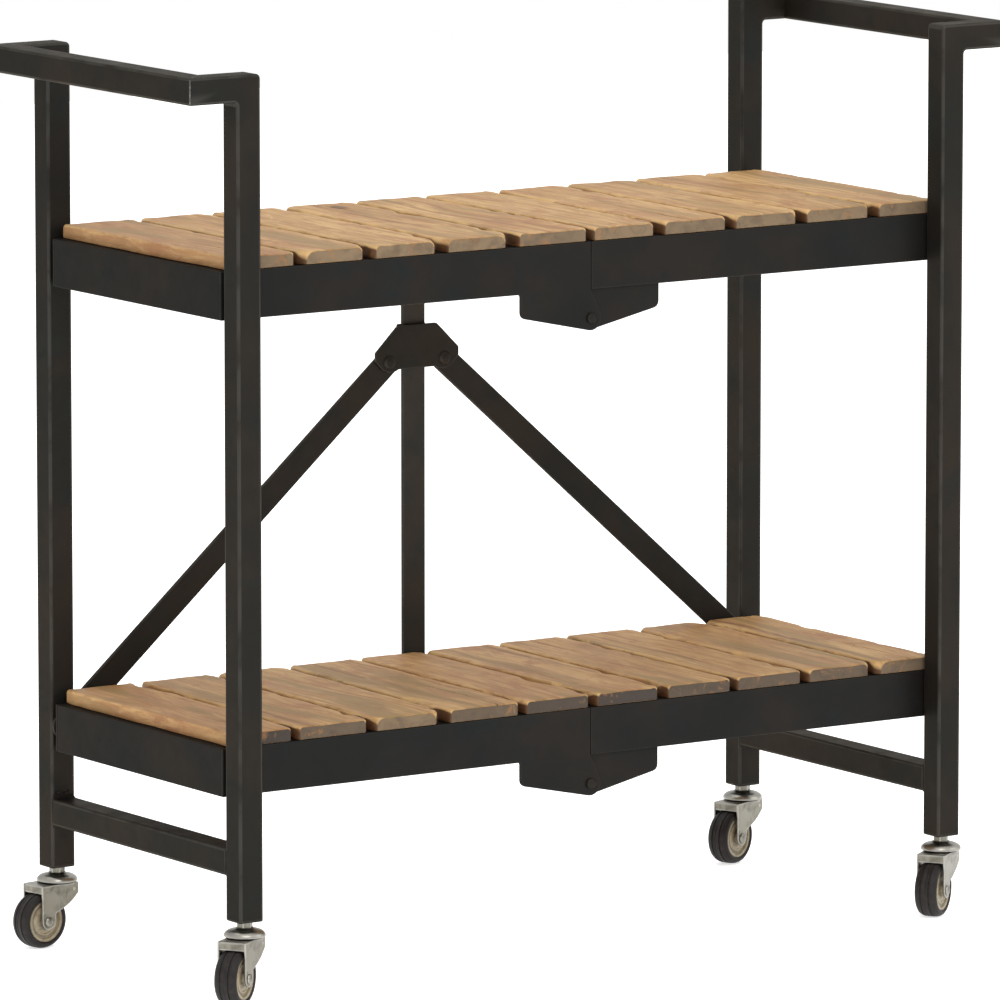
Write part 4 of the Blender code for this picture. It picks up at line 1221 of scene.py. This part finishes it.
def makeWheel(corner, body):
    place = cornerFrame(corner)[1]
    half, radius, hubRadius = caster["width"] / 2, caster["wheel"], caster["hub"]
    # tyre: rounded shoulders, two grooves and a mould line in the tread, tucked in at the hub
    side = [(hubRadius, half * 0.70, 0), (hubRadius + 0.0003, half * 0.88, 0),
            (hubRadius + 0.0010, half * 0.97, 0), (hubRadius + 0.0020, half, 0),
            (hubRadius + 0.0031, half * 0.985, 0.2),
            (radius - 0.0020, half * 0.90, 0.4), (radius - 0.0010, half * 0.76, 0.7),
            (radius - 0.0003, half * 0.56, 1), (radius - 0.0001, half * 0.45, 1),
            (radius - 0.0008, half * 0.42, 0), (radius - 0.0008, half * 0.32, 0),
            (radius - 0.00005, half * 0.29, 1), (radius, half * 0.03, 1), (radius - 0.00018, 0.0, 1)]
    tyreShape = newShape()
    profile, wear = bothSides(side, True)
    lathe(tyreShape, profile, alongY, 64, wear)
    piece("tyre" + title(corner), tyreShape, tyre, body, [f"caster_{corner}_wheel"], sharp=60,
          turn=place)
    # hub: boss round the axle, recessed web with a ring in it, rim
    face = [(0.00325, 0.0114, 0), (0.0052, 0.0114, 0.0), (0.0058, 0.0109, 0.2), (0.0062, 0.0088, 1),
            (0.0078, 0.0080, 0.6), (0.0110, 0.0078, 0), (0.0116, 0.0084, 0.1), (0.0131, 0.0084, 0.1),
            (0.0137, 0.0077, 0.9), (0.0158, 0.0076, 0.5), (0.0166, 0.0093, 0.1),
            (hubRadius + 0.0001, 0.0095, 0.8), (hubRadius + 0.0002, 0.0072, 0)]
    hubShape = newShape()
    profile, wear = bothSides(face, False)
    lathe(hubShape, profile, alongY, 48, wear)
    piece("hub" + title(corner), hubShape, hub, body, sharp=40, turn=place)


for corner in corners:
    end = corner.split("_")[1] + "_end"
    makeStem(corner, end)
    makeFork(corner, f"caster_{corner}_swivel")
    makeAxle(corner, f"caster_{corner}_swivel")
    makeWheel(corner, f"caster_{corner}_roll")
print("casters made")


studio = {
    "azimuth": -33.67, "elevation": 8.57, "distance": 9.288, "aimHeight": 0.3915, "lens": 371.86,
    "slide": -0.0023, "floor": (0.93, 0.93, 0.93), "speck": (0.90, 0.90, 0.90), "floorGlow": 0.6,
    "floorHalf": 6.0, "lampAim": (0, 0, 0.45),
}
lamps = {
    "keyLamp": {"at": (-1.4, -3.0, 3.4), "size": 2.4, "power": 62},
    "fillLamp": {"at": (2.8, -2.2, 2.2), "size": 2.6, "power": 22},
    "topLamp": {"at": (0.0, 0.6, 4.0), "size": 3.0, "power": 34},
}


def makeStudio():
    floorShape = bmesh.new()
    bmesh.ops.create_grid(floorShape, x_segments=8, y_segments=8, size=studio["floorHalf"])
    mesh = bpy.data.meshes.new("studioFloor")
    floorShape.to_mesh(mesh)
    floorShape.free()
    floor = bpy.data.objects.new("studioFloor", mesh)
    bpy.context.scene.collection.objects.link(floor)
    s = Sheet("paperFloor")
    speck = s.grainNoise(s.place(), 40.0, 3.0)
    paper = s.mix(s.math("MULTIPLY", speck, 0.2), studio["floor"], studio["speck"])
    mesh.materials.append(s.set(colour=paper, rough=0.9, metal=0.0))
    s.shader.inputs["Emission Color"].default_value = (1, 1, 1, 1)
    s.shader.inputs["Emission Strength"].default_value = studio["floorGlow"]
    world = bpy.data.worlds.new("studioWorld")
    world.use_nodes = True
    world.node_tree.nodes["Background"].inputs["Color"].default_value = (1.0, 1.0, 1.0, 1.0)
    world.node_tree.nodes["Background"].inputs["Strength"].default_value = 1.0
    bpy.context.scene.world = world
    for name, lamp in lamps.items():
        data = bpy.data.lights.new(name, "AREA")
        data.shape = "SQUARE"
        data.size = lamp["size"]
        data.energy = lamp["power"]
        holder = bpy.data.objects.new(name, data)
        holder.location = lamp["at"]
        aim = Vector(studio["lampAim"]) - holder.location
        holder.rotation_mode = "QUATERNION"
        holder.rotation_quaternion = aim.to_track_quat("-Z", "Y")
        bpy.context.scene.collection.objects.link(holder)


def makeCamera():
    turn = math.radians(-studio["azimuth"])
    pitch = math.radians(studio["elevation"])
    look = Vector((math.sin(turn) * math.cos(pitch), math.cos(turn) * math.cos(pitch), -math.sin(pitch)))
    data = bpy.data.cameras.new("studioCamera")
    data.lens = studio["lens"]
    data.sensor_width = 36.0
    data.clip_start, data.clip_end = 0.1, 60.0
    camera = bpy.data.objects.new("studioCamera", data)
    across = Vector((math.cos(turn), -math.sin(turn), 0.0))
    aim = Vector((0.0, cartY, studio["aimHeight"])) + across * studio["slide"]
    camera.location = aim - look * studio["distance"]
    camera.rotation_mode = "QUATERNION"
    camera.rotation_quaternion = look.to_track_quat("-Z", "Y")
    bpy.context.scene.collection.objects.link(camera)
    bpy.context.scene.camera = camera


makeStudio()
makeCamera()
bpy.context.scene.view_settings.view_transform = "Standard"
print("studio made")
